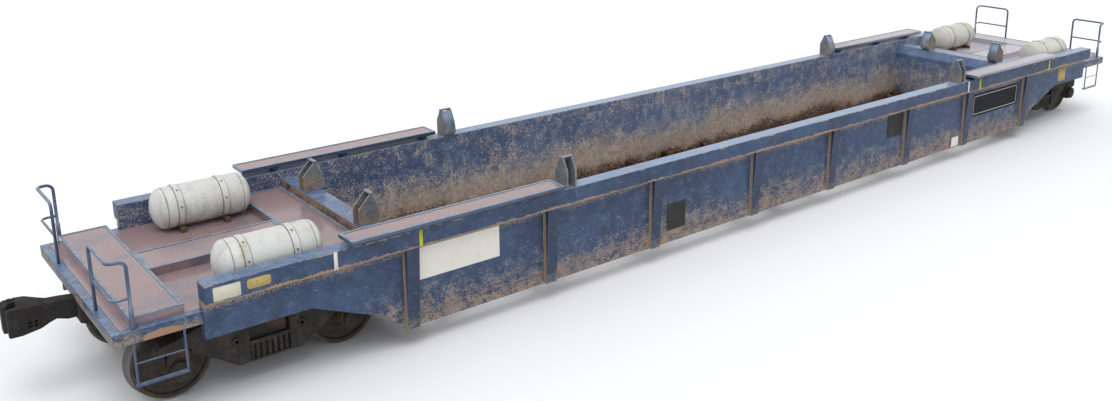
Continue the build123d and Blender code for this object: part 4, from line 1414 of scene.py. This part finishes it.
top = BOARD_UNDER + OVERLAP
lip, lip_quads = ring_between([rectangle_loop(0, top), rectangle_loop(0, LIP_LOW),
                               rectangle_loop(LIP_T, LIP_LOW), rectangle_loop(LIP_T, top)])
piece("running_board_lips", both_ends_and_sides(lip).reshape(-1, 3), [repeated(len(lip), lip_quads, 4)],
      "trim", merge=1e-6)
run = [(BOARD[0] + STRINGER_SHORT, STRINGER_LOW), (BOARD[1] - STRINGER_SHORT, STRINGER_LOW)]
STRINGER_Y = (BOARD[2] + STRINGER_IN, BOARD[3] - STRINGER_IN - STRINGER_T)
bars = [bent_sheet(run, (y, y + STRINGER_T), top - STRINGER_LOW) for y in STRINGER_Y]
bar_points = np.concatenate([points for points, quads in bars])
bar_quads = repeated(len(bars[0][0]), bars[0][1], 4 * len(bars))
# dark rust brown, partly painted shade under the board's edge
piece("running_board_stringers", both_ends_and_sides(bar_points).reshape(-1, 3), [bar_quads], "strap",
      merge=1e-6)
print("lips: 4, stringers:", 4 * len(bars))

# %% [markdown]
# ## Cap screws
# Three cap screws hold the end cap on each bearing. They turn with the wheelset, so they ride on it. Each
# is the same domed head as on the tank bands, with fewer sides, turned to face away from the car. A bump in
# the cap's texture would vanish from the side, where the screws stand out most.

# %% Heads on the bearing caps
CAP_FACE = 1.133
CAP_SUNK = 0.0005            # how deep a screw's rim sits in the cap
SCREW_CIRCLE = 0.062
SCREW_ANGLES = np.radians([90, 210, 330])
SCREW_R = 0.017
SCREW_H = 0.012


def heads_facing(spots, side):
    """One domed head at each spot, its axis turned from Z to Y on the given side (+1 or -1)."""
    points, faces = stud(SCREW_R, SCREW_H, sides=8)
    local = points[:, (1, 2, 0)] * (1, side, 1)
    everything = spots[:, None] + local
    return everything.reshape(-1, 3), [repeated(len(points), f, len(spots))[:, ::side] for f in faces]


for name, x in WHEELSETS.items():
    for label, side in (("right", -1), ("left", 1)):
        spots = np.stack([x + SCREW_CIRCLE * np.cos(SCREW_ANGLES), np.full(3, side * (CAP_FACE - CAP_SUNK)),
                          AXLE_Z + SCREW_CIRCLE * np.sin(SCREW_ANGLES)], -1)
        points, faces = heads_facing(spots, side)
        piece(f"cap_screws_{name}_{label}", points, faces, "iron",
              f"wheelset_{name}", smooth=40, merge=1e-6)
print("added pieces:", len(added))

# %% [markdown]
# ## Floor
# A studio floor in near white keeps the soft shadow under the car. It is far wider than the car, so that no
# edge shows, and it rides on none of the car's bodies. A curved backdrop would do as well, but under an even
# sky a plain flat sheet looks the same.

# %% Studio floor
FLOOR_HALF = 90.0
floor_mesh = bpy.data.meshes.new("studio_floor")
floor_corners = [(x * FLOOR_HALF, y * FLOOR_HALF, 0) for x, y in ((-1, -1), (1, -1), (1, 1), (-1, 1))]
floor_mesh.from_pydata(floor_corners, [], [(0, 1, 2, 3)])
floor = bpy.data.objects.new("studio_floor", floor_mesh)
bpy.context.scene.collection.objects.link(floor)
floor_finish = bpy.data.materials.new("studio_white")
floor_finish.use_nodes = True
floor_inputs = floor_finish.node_tree.nodes["Principled BSDF"].inputs
floor_inputs["Base Color"].default_value = (0.95, 0.95, 0.95, 1)
floor_inputs["Roughness"].default_value = 1.0
floor_inputs["Specular IOR Level"].default_value = 0.0
floor_mesh.materials.append(floor_finish)
print("floor:", 2 * FLOOR_HALF, "m square")

# %% [markdown]
# ## Light
# The sky dome gives the even light of an overcast day, and one large soft lamp from above makes the tops
# brighter than the walls. The background would be grey under such a sky, so rays that come straight from
# the camera, off a gloss or through glass see plain white instead. A ring of lamps could light it as
# evenly, but each would have to be balanced against the others.

# %% Overcast sky
world = bpy.data.worlds.new("overcast")
bpy.context.scene.world = world
world.use_nodes = True
tree = world.node_tree
sky = tree.nodes["Background"]
sky.inputs["Color"].default_value = (0.93, 0.96, 1.0, 1)
sky.inputs["Strength"].default_value = 0.8
seen = tree.nodes.new("ShaderNodeBackground")
seen.inputs["Color"].default_value = (1, 1, 1, 1)
path = tree.nodes.new("ShaderNodeLightPath")
white = path.outputs["Is Camera Ray"]
for ray in ("Is Glossy Ray", "Is Transmission Ray"):
    either = tree.nodes.new("ShaderNodeMath")
    either.operation = "MAXIMUM"
    tree.links.new(white, either.inputs[0])
    tree.links.new(path.outputs[ray], either.inputs[1])
    white = either.outputs[0]
choose = tree.nodes.new("ShaderNodeMixShader")
for source, socket in zip((white, sky.outputs[0], seen.outputs[0]), choose.inputs):
    tree.links.new(source, socket)
tree.links.new(choose.outputs[0], tree.nodes["World Output"].inputs["Surface"])
print("sky strength:", round(sky.inputs["Strength"].default_value, 2))

# %% Overhead lamp
lamp = bpy.data.lights.new("overhead", "SUN")
lamp.energy = 1.2
lamp.angle = math.radians(40)
lamp_object = bpy.data.objects.new("overhead", lamp)
lamp_object.rotation_euler = (math.radians(20), math.radians(-15), 0)
bpy.context.scene.collection.objects.link(lamp_object)
print("lamp strength:", round(lamp.energy, 2))

# %% [markdown]
# ## Camera
# The camera stands at the near left corner, at the height of a footbridge, and looks along the car. A small
# shift of the lens places the car in the frame without turning the camera, so upright edges keep their
# slant.

# %% Camera
CAMERA_PLACE = (-11.346, -10.832, 5.585)
CAMERA_LOOKS = Vector((0.61259, 0.74836, -0.25434))
camera = bpy.data.cameras.new("camera")
camera.sensor_width = 36.0
camera.lens = 34.03
camera.shift_x = -0.0396
camera.shift_y = -0.0904
camera.clip_end = 500.0
camera_object = bpy.data.objects.new("camera", camera)
camera_object.location = CAMERA_PLACE
camera_object.rotation_euler = CAMERA_LOOKS.to_track_quat("-Z", "Y").to_euler()
bpy.context.scene.collection.objects.link(camera_object)
bpy.context.scene.camera = camera_object
bpy.context.scene.view_settings.view_transform = "Standard"
print("lens:", round(camera.lens, 2), "mm")
